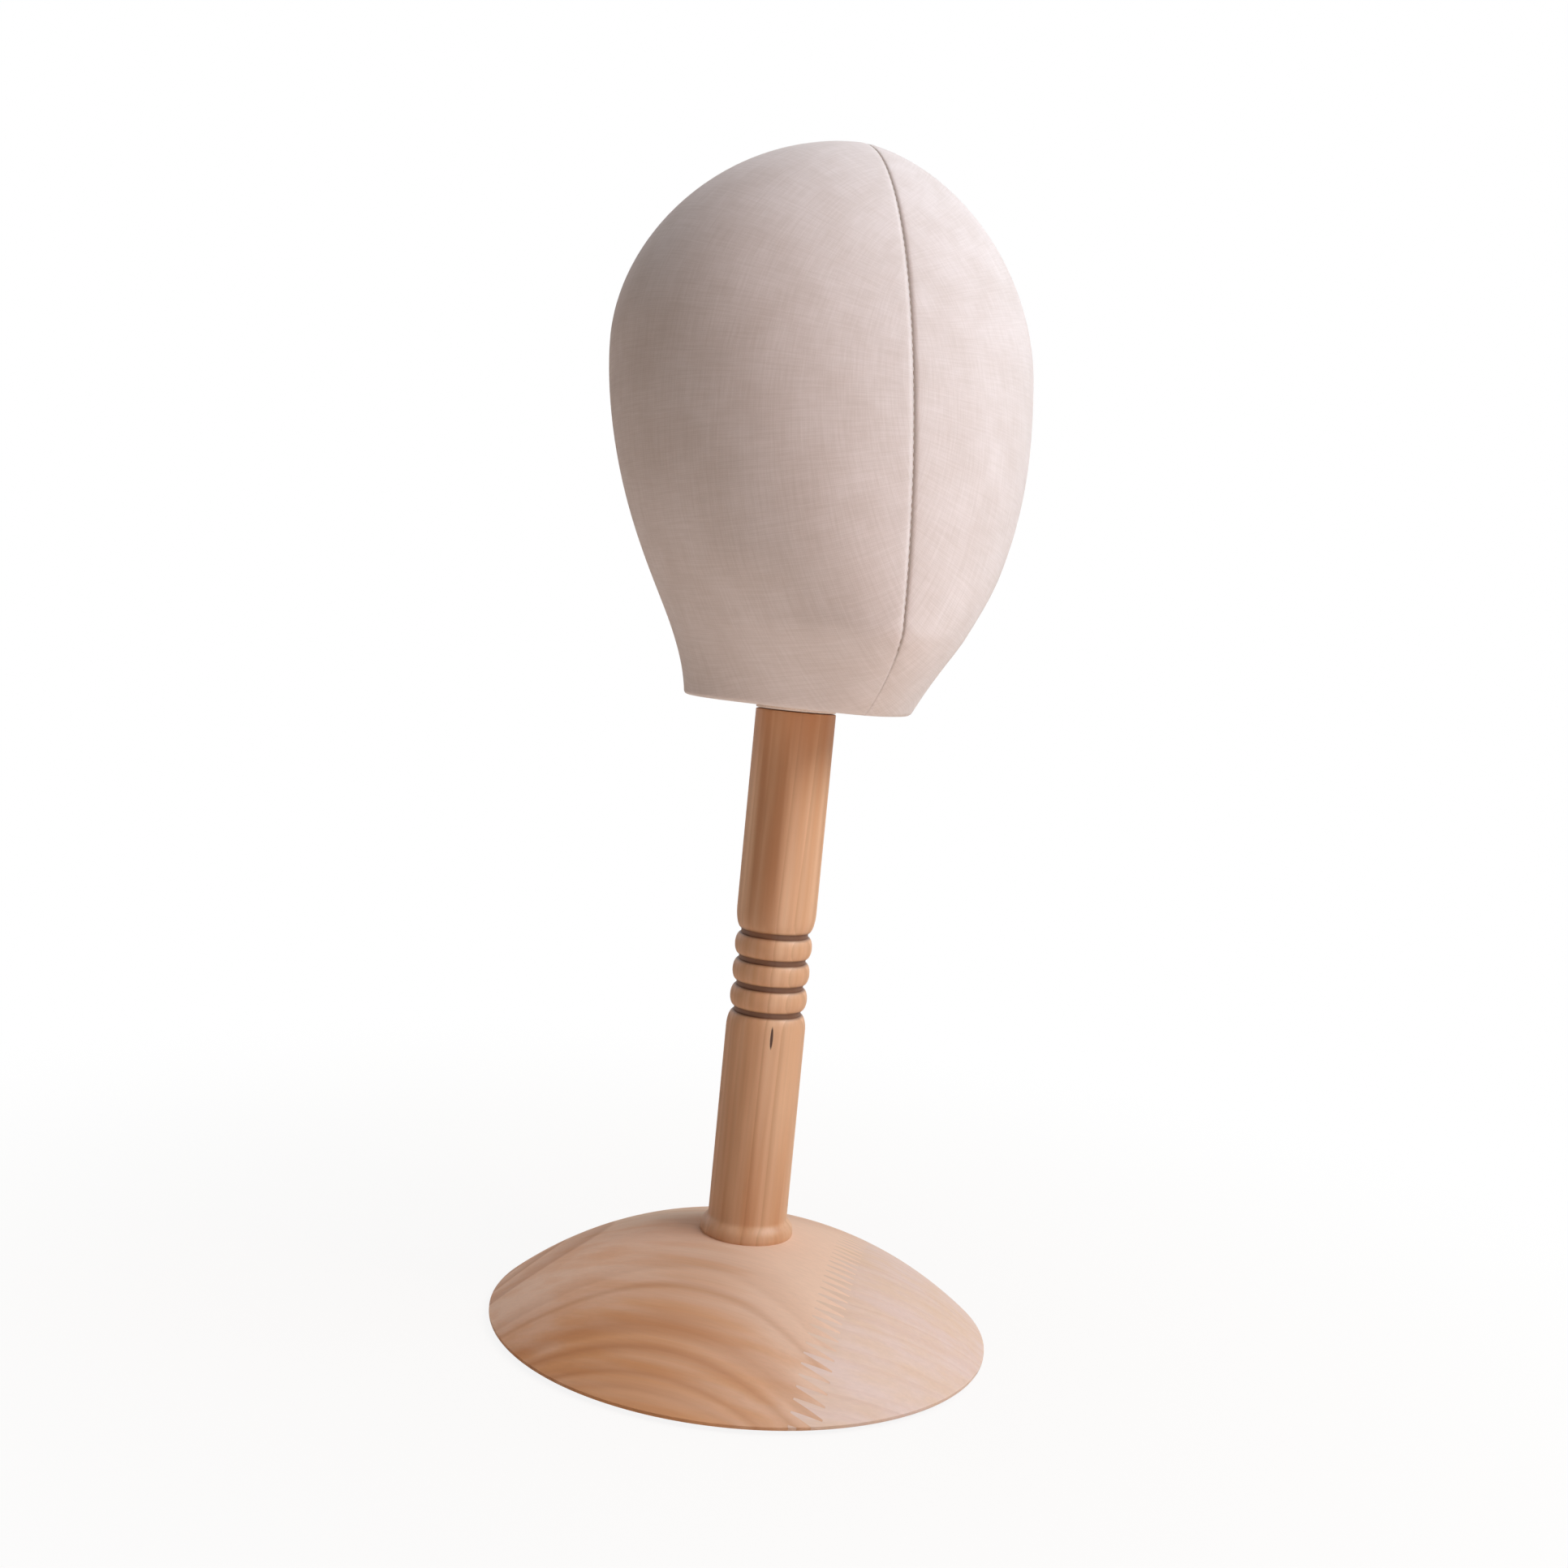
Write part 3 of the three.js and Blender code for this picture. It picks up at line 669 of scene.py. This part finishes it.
def rounded(profile, radius, steps=3):
    """Profile with its inner corners rounded; points given as (r, z)."""
    made = [profile[0]]
    for before, corner, after in zip(profile, profile[1:], profile[2:]):
        a, c, b = (np.array(p) for p in (before, corner, after))
        into, out = a - c, b - c
        cut = min(radius, 0.45 * np.linalg.norm(into), 0.45 * np.linalg.norm(out))
        start = c + into / np.linalg.norm(into) * cut
        end = c + out / np.linalg.norm(out) * cut
        for t in np.linspace(0, 1, steps + 1):
            point = (1 - t) ** 2 * start + 2 * t * (1 - t) * c + t**2 * end
            made.append((float(point[0]), float(point[1])))
    return made + [profile[-1]]


def cut(mesh, tool, operation):
    """Boolean of two meshes, as a new mesh."""
    target, cutter = add_object("target", mesh), add_object("cutter", tool)
    step = target.modifiers.new("cut", "BOOLEAN")
    step.operation, step.solver, step.object = operation, "EXACT", cutter
    made = with_modifiers(target)
    for part in (target, cutter):
        bpy.data.objects.remove(part)
    return made


# Base

def dome_height(radius):
    return RIM_TOP + math.sqrt(CAP_RADIUS**2 - radius**2) - (CAP_RADIUS - DOME_RISE)


def base_solid():
    rim = [(0, BASE_BOTTOM), (BASE_RADIUS, BASE_BOTTOM), (BASE_RADIUS, RIM_TOP)]
    radii = BASE_RADIUS * np.sin(np.linspace(math.pi / 2, 0, 56))[1:]
    dome = [(float(r), dome_height(r)) for r in radii]
    dome[-1] = (0, dome_height(0))
    return turned("base", rounded(rim + [dome[0]], 0.5 * MM) + dome[1:], 180)


def finger_tool(side, shift):
    """Prism over one side of the zigzag joint line."""
    root = JOINT_OFFSET - FINGER_LENGTH / 2 + shift
    tip = JOINT_OFFSET + FINGER_LENGTH / 2 + shift
    count = math.ceil(BASE_RADIUS / FINGER_PITCH) + 1
    line = []
    for i in range(-count, count + 1):
        across = i * FINGER_PITCH
        wide, narrow = (FINGER_PITCH - FINGER_TIP) / 2, FINGER_TIP / 2
        line += [(root, across - wide), (tip, across - narrow), (tip, across + narrow),
                 (root, across + wide)]
    far = side * 2 * BASE_RADIUS
    outline = line + [(far, line[-1][1]), (far, line[0][1])]
    turn = Matrix.Rotation(GRAIN_ANGLE, 3, "Z")
    vertices = [turn @ Vector((x, y, z)) for z in (-MM, 0.06) for x, y in outline]
    n = len(outline)
    faces = [list(range(n))[::-1], list(range(n, 2 * n))]
    faces += [[i, (i + 1) % n, n + (i + 1) % n, n + i] for i in range(n)]
    mesh = mesh_of("fingers", vertices, faces)
    solid = bmesh.new()
    solid.from_mesh(mesh)
    bmesh.ops.recalc_face_normals(solid, faces=solid.faces)
    solid.to_mesh(mesh)
    solid.free()
    return mesh


def build_base():
    seat = dome_height(COLLAR_RADIUS + 0.3 * MM)
    floor = seat - SOCKET_DEPTH
    around_collar = COLLAR_RADIUS + 0.15 * MM
    bore = [(0, BASE_BOTTOM - MM), (COUNTERBORE_RADIUS, BASE_BOTTOM - MM),
            (COUNTERBORE_RADIUS, COUNTERBORE_TOP), (SCREW_HOLE_RADIUS, COUNTERBORE_TOP),
            (SCREW_HOLE_RADIUS, floor), (SOCKET_RADIUS, floor), (SOCKET_RADIUS, seat),
            (around_collar, seat), (around_collar, 50 * MM), (0, 50 * MM)]
    dome = cut(base_solid(), turned("bore", bore, 64), "DIFFERENCE")
    for side, name, finish, shift in ((-1, "left", "left", 0), (1, "right", "right", GLUE_LINE)):
        block = cut(dome.copy(), finger_tool(side, shift), "INTERSECT")
        smooth(block)
        new_piece(f"base_{name}", block, finish, "stand", f"base_wood_{name}",
                  f"base_block_{name}")


# Pole

def band_rows(first):
    """Heights at which the rod needs points for the bead band, closer where it bends more."""
    bend = 1 - np.cos(np.linspace(0, math.pi / 2, 15))
    bead = (1 - np.cos(np.linspace(0, math.pi, 19))) / 2
    half = GROOVE_FLAT / 2
    rows = [first - half - LOWER_SHOULDER * bend[::-1]]
    rows += [first + i * BEAD_PITCH + half + (BEAD_PITCH - GROOVE_FLAT) * bead
             for i in range(BEAD_COUNT)]
    rows.append(first + BEAD_COUNT * BEAD_PITCH + half + UPPER_SHOULDER * bend)
    return np.concatenate(rows)


def collar_points():
    start = COLLAR_BOTTOM + COLLAR_FOOT
    knots = [(COLLAR_RADIUS, start), (COLLAR_RADIUS, start + COLLAR_HEIGHT * 0.55),
             (POLE_RADIUS, COLLAR_BOTTOM + COLLAR_HEIGHT * 0.7),
             (POLE_RADIUS, COLLAR_BOTTOM + COLLAR_HEIGHT)]
    made = [(COLLAR_RADIUS - 0.4 * MM, COLLAR_BOTTOM)]
    for t in np.linspace(0, 1, 17):
        weights = ((1 - t) ** 3, 3 * t * (1 - t) ** 2, 3 * t**2 * (1 - t), t**3)
        made.append(tuple(sum(w * k[i] for w, k in zip(weights, knots)) for i in (0, 1)))
    return made


def build_pole():
    first = BAND_MIDDLE - BEAD_COUNT / 2 * BEAD_PITCH
    last = first + BEAD_COUNT * BEAD_PITCH
    pilot_top = POLE_BOTTOM + PILOT_DEPTH
    profile = [(0, pilot_top), (PILOT_RADIUS, pilot_top), (PILOT_RADIUS, POLE_BOTTOM),
               (TENON_RADIUS - TENON_CHAMFER, POLE_BOTTOM),
               (TENON_RADIUS, POLE_BOTTOM + TENON_CHAMFER), (TENON_RADIUS, COLLAR_BOTTOM)]
    profile += collar_points()
    plain = np.linspace(COLLAR_BOTTOM + 12 * MM, first - 9 * MM, 12)
    profile += [(POLE_RADIUS, z) for z in plain]
    profile += [(POLE_RADIUS, z) for z in band_rows(first)]
    profile += [(POLE_RADIUS, z) for z in np.linspace(last + 12 * MM, SHOULDER - 2 * MM, 12)]
    top = [(POLE_RADIUS, SHOULDER - 1.5 * MM), (POLE_RADIUS, SHOULDER), (SPIGOT_RADIUS, SHOULDER)]
    profile += rounded(top, 0.5 * MM)[1:]
    profile += [(SPIGOT_RADIUS, POLE_TOP - 2 * MM), (SPIGOT_RADIUS - 2 * MM, POLE_TOP),
                (0, POLE_TOP)]
    mesh = grown("pole", turned("rod", profile, 128), beaded_rod(), {
        "Lowest Groove": first, "Pitch": BEAD_PITCH, "Count": BEAD_COUNT,
        "Groove Width": GROOVE_FLAT, "Groove Radius": GROOVE_RADIUS,
        "Bead Radius": BEAD_RADIUS, "Rod Radius": POLE_RADIUS,
        "Lower Shoulder": LOWER_SHOULDER, "Upper Shoulder": UPPER_SHOULDER,
        "Material": finishes["pole"],
    })
    smooth(mesh)
    new_piece("turned_pole", mesh, "pole", "stand", "pole_wood", "pole")


def ring_profile(inner, outer, low, high, radius):
    corners = [(inner, low), (outer, low), (outer, high), (inner, high)]
    loop = rounded([corners[-1], *corners, corners[0]], radius)[1:-1]
    return loop + [loop[0]]


def build_small_pieces():
    profile = ring_profile(WASHER_HOLE_RADIUS, POLE_RADIUS, SWIVEL_BOTTOM, SWIVEL_TOP, 0.5 * MM)
    washer = turned("washer", profile, 96)
    smooth(washer, 60)
    new_piece("felt_washer", washer, "felt", "swivel", "washer_felt", "swivel_washer")
    for i in range(1, 5):
        low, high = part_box(f"foot_pad_{i}")
        radius = (high.x - low.x) / 2
        profile = rounded([(0, 0), (radius, 0), (radius, high.z), (0, high.z)], 0.5 * MM)
        pad = turned("pad", profile, 48)
        pad.transform(Matrix.Translation(((low.x + high.x) / 2, (low.y + high.y) / 2, 0)))
        smooth(pad, 60)
        new_piece(f"felt_foot_{i}", pad, "foot", "stand", "foot_felt", f"foot_pad_{i}")


# Head

class Profile:
    """Reach of one side of the head against the height above the neck's bottom."""

    def __init__(self, crown, widest, at_height, fullness, lower_drop, neck_reach, neck_rise,
                 neck_splay):
        self.crown, self.widest, self.at_height = crown, widest, at_height
        self.fullness = fullness
        t = np.linspace(0, 1, 400)
        weights = np.array([(1 - t) ** 3, 3 * t * (1 - t) ** 2, 3 * t**2 * (1 - t), t**3])
        self.reaches = np.array(
            [neck_reach, neck_reach + neck_splay * neck_rise, widest, widest]) @ weights
        self.heights = np.array([0, neck_rise, at_height - lower_drop, at_height]) @ weights

    def __call__(self, height):
        top = HEAD_HEIGHT / MM
        s = np.clip((height - self.at_height) / (top - self.at_height), 0, 1)
        bow = (1 - s**self.fullness) ** (1 / self.fullness)
        upper = self.crown + (self.widest - self.crown) * bow
        return np.where(height >= self.at_height, upper,
                        np.interp(height, self.heights, self.reaches))


front_reach = Profile(CROWN_FORWARD / MM, 77.3, 28, 1.86, 7, 55.5, 4, 1.7)
back_reach = Profile(-CROWN_FORWARD / MM, 82, 117, 1.88, 22, 51, 56, 0.02)
side_reach = Profile(0, 73.6, 118.5, 1.92, 68, 38, 30, 0.18)
BREADTH_FOLLOW = 0.56
CHIN_TAPER = 0.4
CHIN_TAPER_HEIGHT = 50
CROWN_BLEND = 16


def smoothstep(value, low, high):
    t = np.clip((value - low) / (high - low), 0, 1)
    return t * t * (3 - 2 * t)


def head_surface(height, angle):
    """Points of the head, in millimetres above the neck and radians from the left side."""
    front, back, side = front_reach(height), back_reach(height), side_reach(height)
    blend = smoothstep((front + back) / 2, 0, CROWN_BLEND)
    middle = (1 - (1 - BREADTH_FOLLOW) * blend) * (front - back) / 2
    fade = np.clip(height / CHIN_TAPER_HEIGHT, 0, 1)
    taper = CHIN_TAPER * (1 - fade**2 * (3 - 2 * fade))
    is_front = np.sin(angle) < 0
    narrowed = np.where(is_front, 1 - taper * np.sin(angle) ** 2, 1)
    reach = np.where(is_front, front - middle, back + middle)
    return np.stack([side * np.cos(angle) * narrowed, -middle + reach * np.sin(angle),
                     height + NECK_BOTTOM / MM], -1) * MM


def head_heights():
    rim = np.array([0, 0.05, 0.2, 0.42, 0.7, 1.0, 1.3, 1.8, 2.4])
    jaw = np.linspace(2.4, 70, 72)[1:]
    crown = 70 + (HEAD_HEIGHT / MM - 70) * np.sin(np.linspace(0, math.pi / 2, 92))[1:]
    last = HEAD_HEIGHT / MM - np.array([0.0075, 0.0028, 0.0008])
    return np.concatenate([rim, jaw, crown[:-1], last, crown[-1:]])


def surface_normals(grid):
    up = np.gradient(grid, axis=0)
    along = np.gradient(grid, axis=1)
    normals = np.cross(along, up)
    length = np.linalg.norm(normals, axis=-1, keepdims=True)
    normals = normals / np.maximum(length, 1e-12)
    normals[-1] = (0, 0, 1)
    return normals


def seam_depth(height):
    """How deep the seam lies at heights above the neck, in metres; it runs out at the neck."""
    return SEAM_HOLLOW * smoothstep(height, 12, 30)


def rolled_hem(grid, columns):
    """The cloth's turned-in edge under the neck, gathered in small pleats, as two more rows."""
    rows = []
    pleats = 0.28 * MM * (1 + np.sin(np.arange(columns) * math.pi / 2 + 0.6))
    for share, lift in ((1.0, 1.0), (0.45, 0.6)):
        row = grid[0].copy()
        length = np.linalg.norm(row[:, :2], axis=1)
        row[:, :2] *= ((length - share * HEM + NECK_ROUNDING) / length)[:, None]
        row[:, 0] = np.maximum(row[:, 0], SEAM_GAP)
        row[:, 2] += lift * pleats
        rows.append(row)
    return np.stack(rows)


def laid_flat(grid, side):
    """Where each point of a cover half lies on the flat cloth, in metres from the cheek."""
    middle = (0, 0, NECK_BOTTOM + 105 * MM)
    ahead = (grid - middle) / (74 * MM, 80 * MM, 95 * MM)
    ahead /= np.linalg.norm(ahead, axis=-1, keepdims=True)
    turn = np.arccos(np.clip(ahead[..., 0], 0, 1))
    spread = turn / np.maximum(np.sin(turn), 1e-6)
    return 80 * MM * side * (spread * ahead[..., 1] + 3), 86 * MM * spread * ahead[..., 2]


def build_cover(name, side):
    """Half of the linen cover: a stretched sheet from the seam over one cheek to the seam."""
    heights = head_heights()
    columns = 113
    turn = np.linspace(-math.pi / 2, math.pi / 2, columns)
    height, angle = np.meshgrid(heights, turn, indexing="ij")
    grid = head_surface(height, angle)
    grid[-1] = (0, -CROWN_FORWARD, NECK_BOTTOM + HEAD_HEIGHT)
    normals = surface_normals(grid)
    from_seam = np.abs(grid[..., 0])
    ridge = SEAM_RIDGE * np.exp(-(((from_seam - 2.0 * MM) / (1.8 * MM)) ** 2))
    ridge *= smoothstep(height, 5, 30)
    groove = np.exp(-((from_seam / (0.65 * MM)) ** 2)) * seam_depth(height)
    below = np.clip(1 - height * MM / NECK_ROUNDING, 0, 1)
    rolled = NECK_ROUNDING * (1 - np.sqrt(1 - below**2))
    level = normals * (1, 1, 0)
    level /= np.maximum(np.linalg.norm(level, axis=-1, keepdims=True), 1e-6)
    grid = grid + normals * (ridge - groove)[..., None] - level * rolled[..., None]
    grid[..., 2] = np.maximum(grid[..., 2], NECK_BOTTOM)
    grid[..., 0] = np.maximum(grid[..., 0], SEAM_GAP)
    rise = np.linalg.norm(np.diff(grid[:, columns // 2], axis=0), axis=-1)
    up = np.concatenate([[-HEM, -0.45 * HEM, 0], np.cumsum(rise)])
    grid = np.concatenate([rolled_hem(grid, columns), grid])
    up = up[:, None] + np.zeros_like(grid[..., 0])
    away = np.abs(grid[..., 0])
    across, along = laid_flat(grid, side)
    rows = len(grid)
    grid[..., 0] *= side
    vertices = grid.reshape(-1, 3)
    faces = []
    for k in range(rows - 1):
        for i in range(columns - 1):
            corners = [k * columns + i, k * columns + i + 1,
                       (k + 1) * columns + i + 1, (k + 1) * columns + i]
            faces.append(corners if side > 0 else corners[::-1])
    mesh = mesh_of(name, vertices, faces)
    corner = np.empty(len(mesh.loops), dtype=int)
    mesh.loops.foreach_get("vertex_index", corner)
    for layer_name, u, v in (("cloth", across, along), ("seam", away, up)):
        layer = mesh.uv_layers.new(name=layer_name)
        pairs = np.stack([u.reshape(-1)[corner], v.reshape(-1)[corner]], -1)
        layer.data.foreach_set("uv", pairs.reshape(-1))
    weld(mesh)
    mesh.shade_smooth()
    piece = new_piece(f"cover_{name}", mesh, "linen", "head", "linen", f"linen_cover_{name}")
    thick = piece.modifiers.new("thickness", "SOLIDIFY")
    thick.thickness, thick.offset = LINEN, -1


def seam_path():
    """Points along the seam in the middle plane, from the throat over the crown to the nape."""
    rising = np.concatenate([np.arange(22, 70, 2.0), head_heights()[-94:-4]])
    front = head_surface(rising, -math.pi / 2)
    back = head_surface(rising, math.pi / 2)[::-1]
    crown = np.array([[0, -CROWN_FORWARD, NECK_BOTTOM + HEAD_HEIGHT]])
    depth = np.concatenate([seam_depth(rising), seam_depth(np.array([100.0])),
                            seam_depth(rising)[::-1]])
    points = np.concatenate([front, crown, back])
    points[:, 0] = 0
    forward = np.gradient(points, axis=0)
    outward = np.cross([1.0, 0.0, 0.0], forward)
    outward /= np.linalg.norm(outward, axis=1, keepdims=True)
    return points - outward * depth[:, None]


def build_stitches():
    """Short stitches that lie in the seam, at an even pitch along it."""
    path = seam_path()
    line = bpy.data.meshes.new("seam_line")
    line.from_pydata([tuple(p) for p in path], [(i, i + 1) for i in range(len(path) - 1)], [])
    mesh = grown("seam_stitches", line, seam_stitches(), {
        "Pitch": STITCH_PITCH, "Length": STITCH_LENGTH, "Thread": STITCH_THREAD,
        "Arch": STITCH_ARCH, "Material": finishes["thread"],
    })
    mesh.shade_smooth()
    new_piece("seam_stitches", mesh, "thread", "head", "linen")


def neck_outline(drawn_in, angles):
    """Points of the neck's outline, drawn in, at the given angles round the pole."""
    around = head_surface(np.zeros(721), np.linspace(0, 2 * math.pi, 721))
    polar = np.unwrap(np.arctan2(around[:, 1], around[:, 0]))
    length = np.linalg.norm(around[:, :2], axis=1)
    reach = np.interp(angles, polar, length, period=2 * math.pi) - drawn_in
    return np.stack([reach * np.cos(angles), reach * np.sin(angles)], -1)


def build_liner():
    """The covered card disc under the neck, round the hole for the spigot."""
    sides = 144
    low, high = (corner.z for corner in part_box("neck_liner"))
    angles = np.linspace(0, 2 * math.pi, sides, endpoint=False)
    unit = np.stack([np.cos(angles), np.sin(angles)], -1)
    edge = 0.25 * MM
    loops = []
    for drawn_in, z in ((edge, low), (0, low + edge), (0, high - edge), (edge, high)):
        flat = neck_outline(HEM + 0.3 * MM + drawn_in, angles)
        loops.append(np.column_stack([flat, np.full(sides, z)]))
    for z in (high, low):
        loops.append(np.column_stack([unit * WASHER_HOLE_RADIUS, np.full(sides, z)]))
    faces = []
    for k in range(len(loops)):
        following = (k + 1) % len(loops)
        for i in range(sides):
            j = (i + 1) % sides
            faces.append([k * sides + i, k * sides + j, following * sides + j,
                          following * sides + i])
    mesh = mesh_of("liner", np.concatenate(loops), faces)
    smooth(mesh, 30)
    new_piece("liner_disc", mesh, "liner", "head", "liner", "neck_liner")


def build_fixing():
    """The screw and washer that hold the pole, seen up the hole in the base."""
    low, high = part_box("base_screw_washer")
    profile = ring_profile(SCREW_HOLE_RADIUS, high.x, low.z, high.z, 0.25 * MM)
    washer = turned("washer", profile, 64)
    smooth(washer)
    new_piece("screw_washer", washer, "steel", "stand", "steel", "base_screw_washer")
    low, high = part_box("base_screw")
    head, shank, neck = high.x, 2.4 * MM, low.z + 3.2 * MM
    profile = rounded([(0, low.z), (4 * MM, low.z), (head, low.z + 1.3 * MM), (head, neck),
                       (shank, neck)], 0.4 * MM)
    profile += [(shank, high.z - 5 * MM), (0, high.z)]
    recess = turned("recess", [(0, low.z - MM), (2.1 * MM, low.z - MM),
                               (1.9 * MM, low.z + 1.8 * MM), (0, low.z + 2.4 * MM)], 6)
    screw = cut(turned("screw", profile, 64), recess, "DIFFERENCE")
    smooth(screw)
    new_piece("hex_screw", screw, "steel", "stand", "steel", "base_screw")


build_base()
build_pole()
build_small_pieces()
build_fixing()
build_cover("left", 1)
build_cover("right", -1)
build_stitches()
build_liner()

for node_name, finish_name in (
        ("head_core", "foam"), ("neck_board", "plywood"), ("socket_plug", "plywood"),
        ("socket_tube", "card")):
    node_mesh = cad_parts[node_name].data
    node_mesh.materials.clear()
    node_mesh.materials.append(finishes[finish_name])


# Floor, light and camera

VIEW_TURN = math.radians(-23)
LAMP_DISTANCE = 1.4


def build_floor():
    mesh = mesh_of("floor", [(-6, -6, 0), (6, -6, 0), (6, 6, 0), (-6, 6, 0)], [[0, 1, 2, 3]])
    floor = add_object("floor", mesh)
    made, tree, shader = new_material("floor_paper", 0.9)
    shader.inputs["Base Color"].default_value = (0.85, 0.74, 0.64, 1)
    white = add(tree, "ShaderNodeEmission", {"Color": (1, 1, 1, 1), "Strength": 1.0})
    camera_ray = add(tree, "ShaderNodeLightPath").outputs["Is Camera Ray"]
    place = add(tree, "ShaderNodeTexCoord").outputs["Object"]
    whiter = remap(tree, vector_number(tree, "LENGTH", place), 0.09, 0.5, 0.89, 1.0)
    share = calc(tree, "MULTIPLY", camera_ray, whiter)
    both = add(tree, "ShaderNodeMixShader", {0: share, 1: shader.outputs[0], 2: white.outputs[0]})
    tree.links.new(both.outputs[0], tree.nodes["Material Output"].inputs["Surface"])
    mesh.materials.append(made)


def new_lamp(name, size, power, tint):
    data = bpy.data.lights.new(name, "AREA")
    data.size, data.energy, data.color = size, power, tint
    lamp = add_object(name, data)
    lamp.visible_camera = False
    return lamp


def soft_light(name, azimuth, elevation, size, power, tint):
    """A square lamp that looks at the head, from an azimuth round it in the view's frame."""
    lamp = new_lamp(name, size, power, tint)
    a = math.radians(azimuth) + VIEW_TURN
    e = math.radians(elevation)
    away = Vector((math.sin(a) * math.cos(e), -math.cos(a) * math.cos(e), math.sin(e)))
    lamp.location = Vector((0, 0, 0.3)) + away * LAMP_DISTANCE
    lamp.rotation_mode = "QUATERNION"
    lamp.rotation_quaternion = (-away).to_track_quat("-Z", "Y")


def bounce_card(name, across, ahead, size, power, tint):
    """A faint lamp that lies on the floor and looks up, as a white card there would."""
    lamp = new_lamp(name, size, power, tint)
    lamp.location = Matrix.Rotation(VIEW_TURN, 3, "Z") @ Vector((across, ahead, 4 * MM))
    lamp.rotation_euler = (math.pi, 0, 0)


def build_light():
    world = bpy.data.worlds.new("studio")
    bpy.context.scene.world = world
    world.use_nodes = True
    tree = world.node_tree
    background = tree.nodes["Background"]
    rays = add(tree, "ShaderNodeLightPath").outputs
    seen = calc(tree, "MAXIMUM", rays["Is Camera Ray"], calc(
        tree, "MAXIMUM", rays["Is Glossy Ray"], rays["Is Transmission Ray"]))
    tree.links.new(mix_colours(tree, seen, (1, 0.7, 0.5, 1), (1, 1, 1, 1)),
                   background.inputs["Color"])
    tree.links.new(remap(tree, seen, 0, 1, 0.06, 1.0, smooth=False),
                   background.inputs["Strength"])
    soft_light("key", 60, 40, 0.8, 11.4, (1, 0.84, 0.8))
    soft_light("side", 92, 38, 0.8, 10, (0.55, 0.84, 1))
    soft_light("top", 0, 86, 0.7, 8, (0.84, 0.89, 0.94))
    soft_light("back_right", 150, 40, 0.7, 1.6, (1, 0.8, 0.7))
    soft_light("back_left", -135, 12, 0.7, 1.6, (1, 0.88, 0.85))
    bounce_card("left_card", -0.5, 0, 0.4, 0.35, (1, 0.8, 0.7))
    bounce_card("front_card", 0.2, -0.5, 0.4, 1.5, (1, 0.87, 0.84))


def build_camera():
    data = bpy.data.cameras.new("photo_view")
    data.sensor_width, data.lens = 36, 39.66
    camera = add_object("photo_view", data)
    bpy.context.scene.camera = camera
    turn = Matrix.Rotation(VIEW_TURN, 3, "Z")
    pitch, roll = math.radians(4.258), math.radians(5.506)
    ahead = turn @ Vector((0, math.cos(pitch), -math.sin(pitch)))
    above = turn @ Vector((0, math.sin(pitch), math.cos(pitch)))
    right = ahead.cross(above)
    tilted_right = right * math.cos(roll) + above * math.sin(roll)
    tilted_up = above * math.cos(roll) - right * math.sin(roll)
    axes = Matrix((tilted_right, tilted_up, -ahead)).transposed()
    camera.rotation_mode = "QUATERNION"
    camera.rotation_quaternion = axes.to_quaternion()
    camera.location = turn @ Vector((-1.74 * MM, -602.2 * MM, 0)) + Vector((0, 0, 239 * MM))


build_floor()
build_light()
build_camera()
bpy.context.scene.view_settings.view_transform = "Standard"
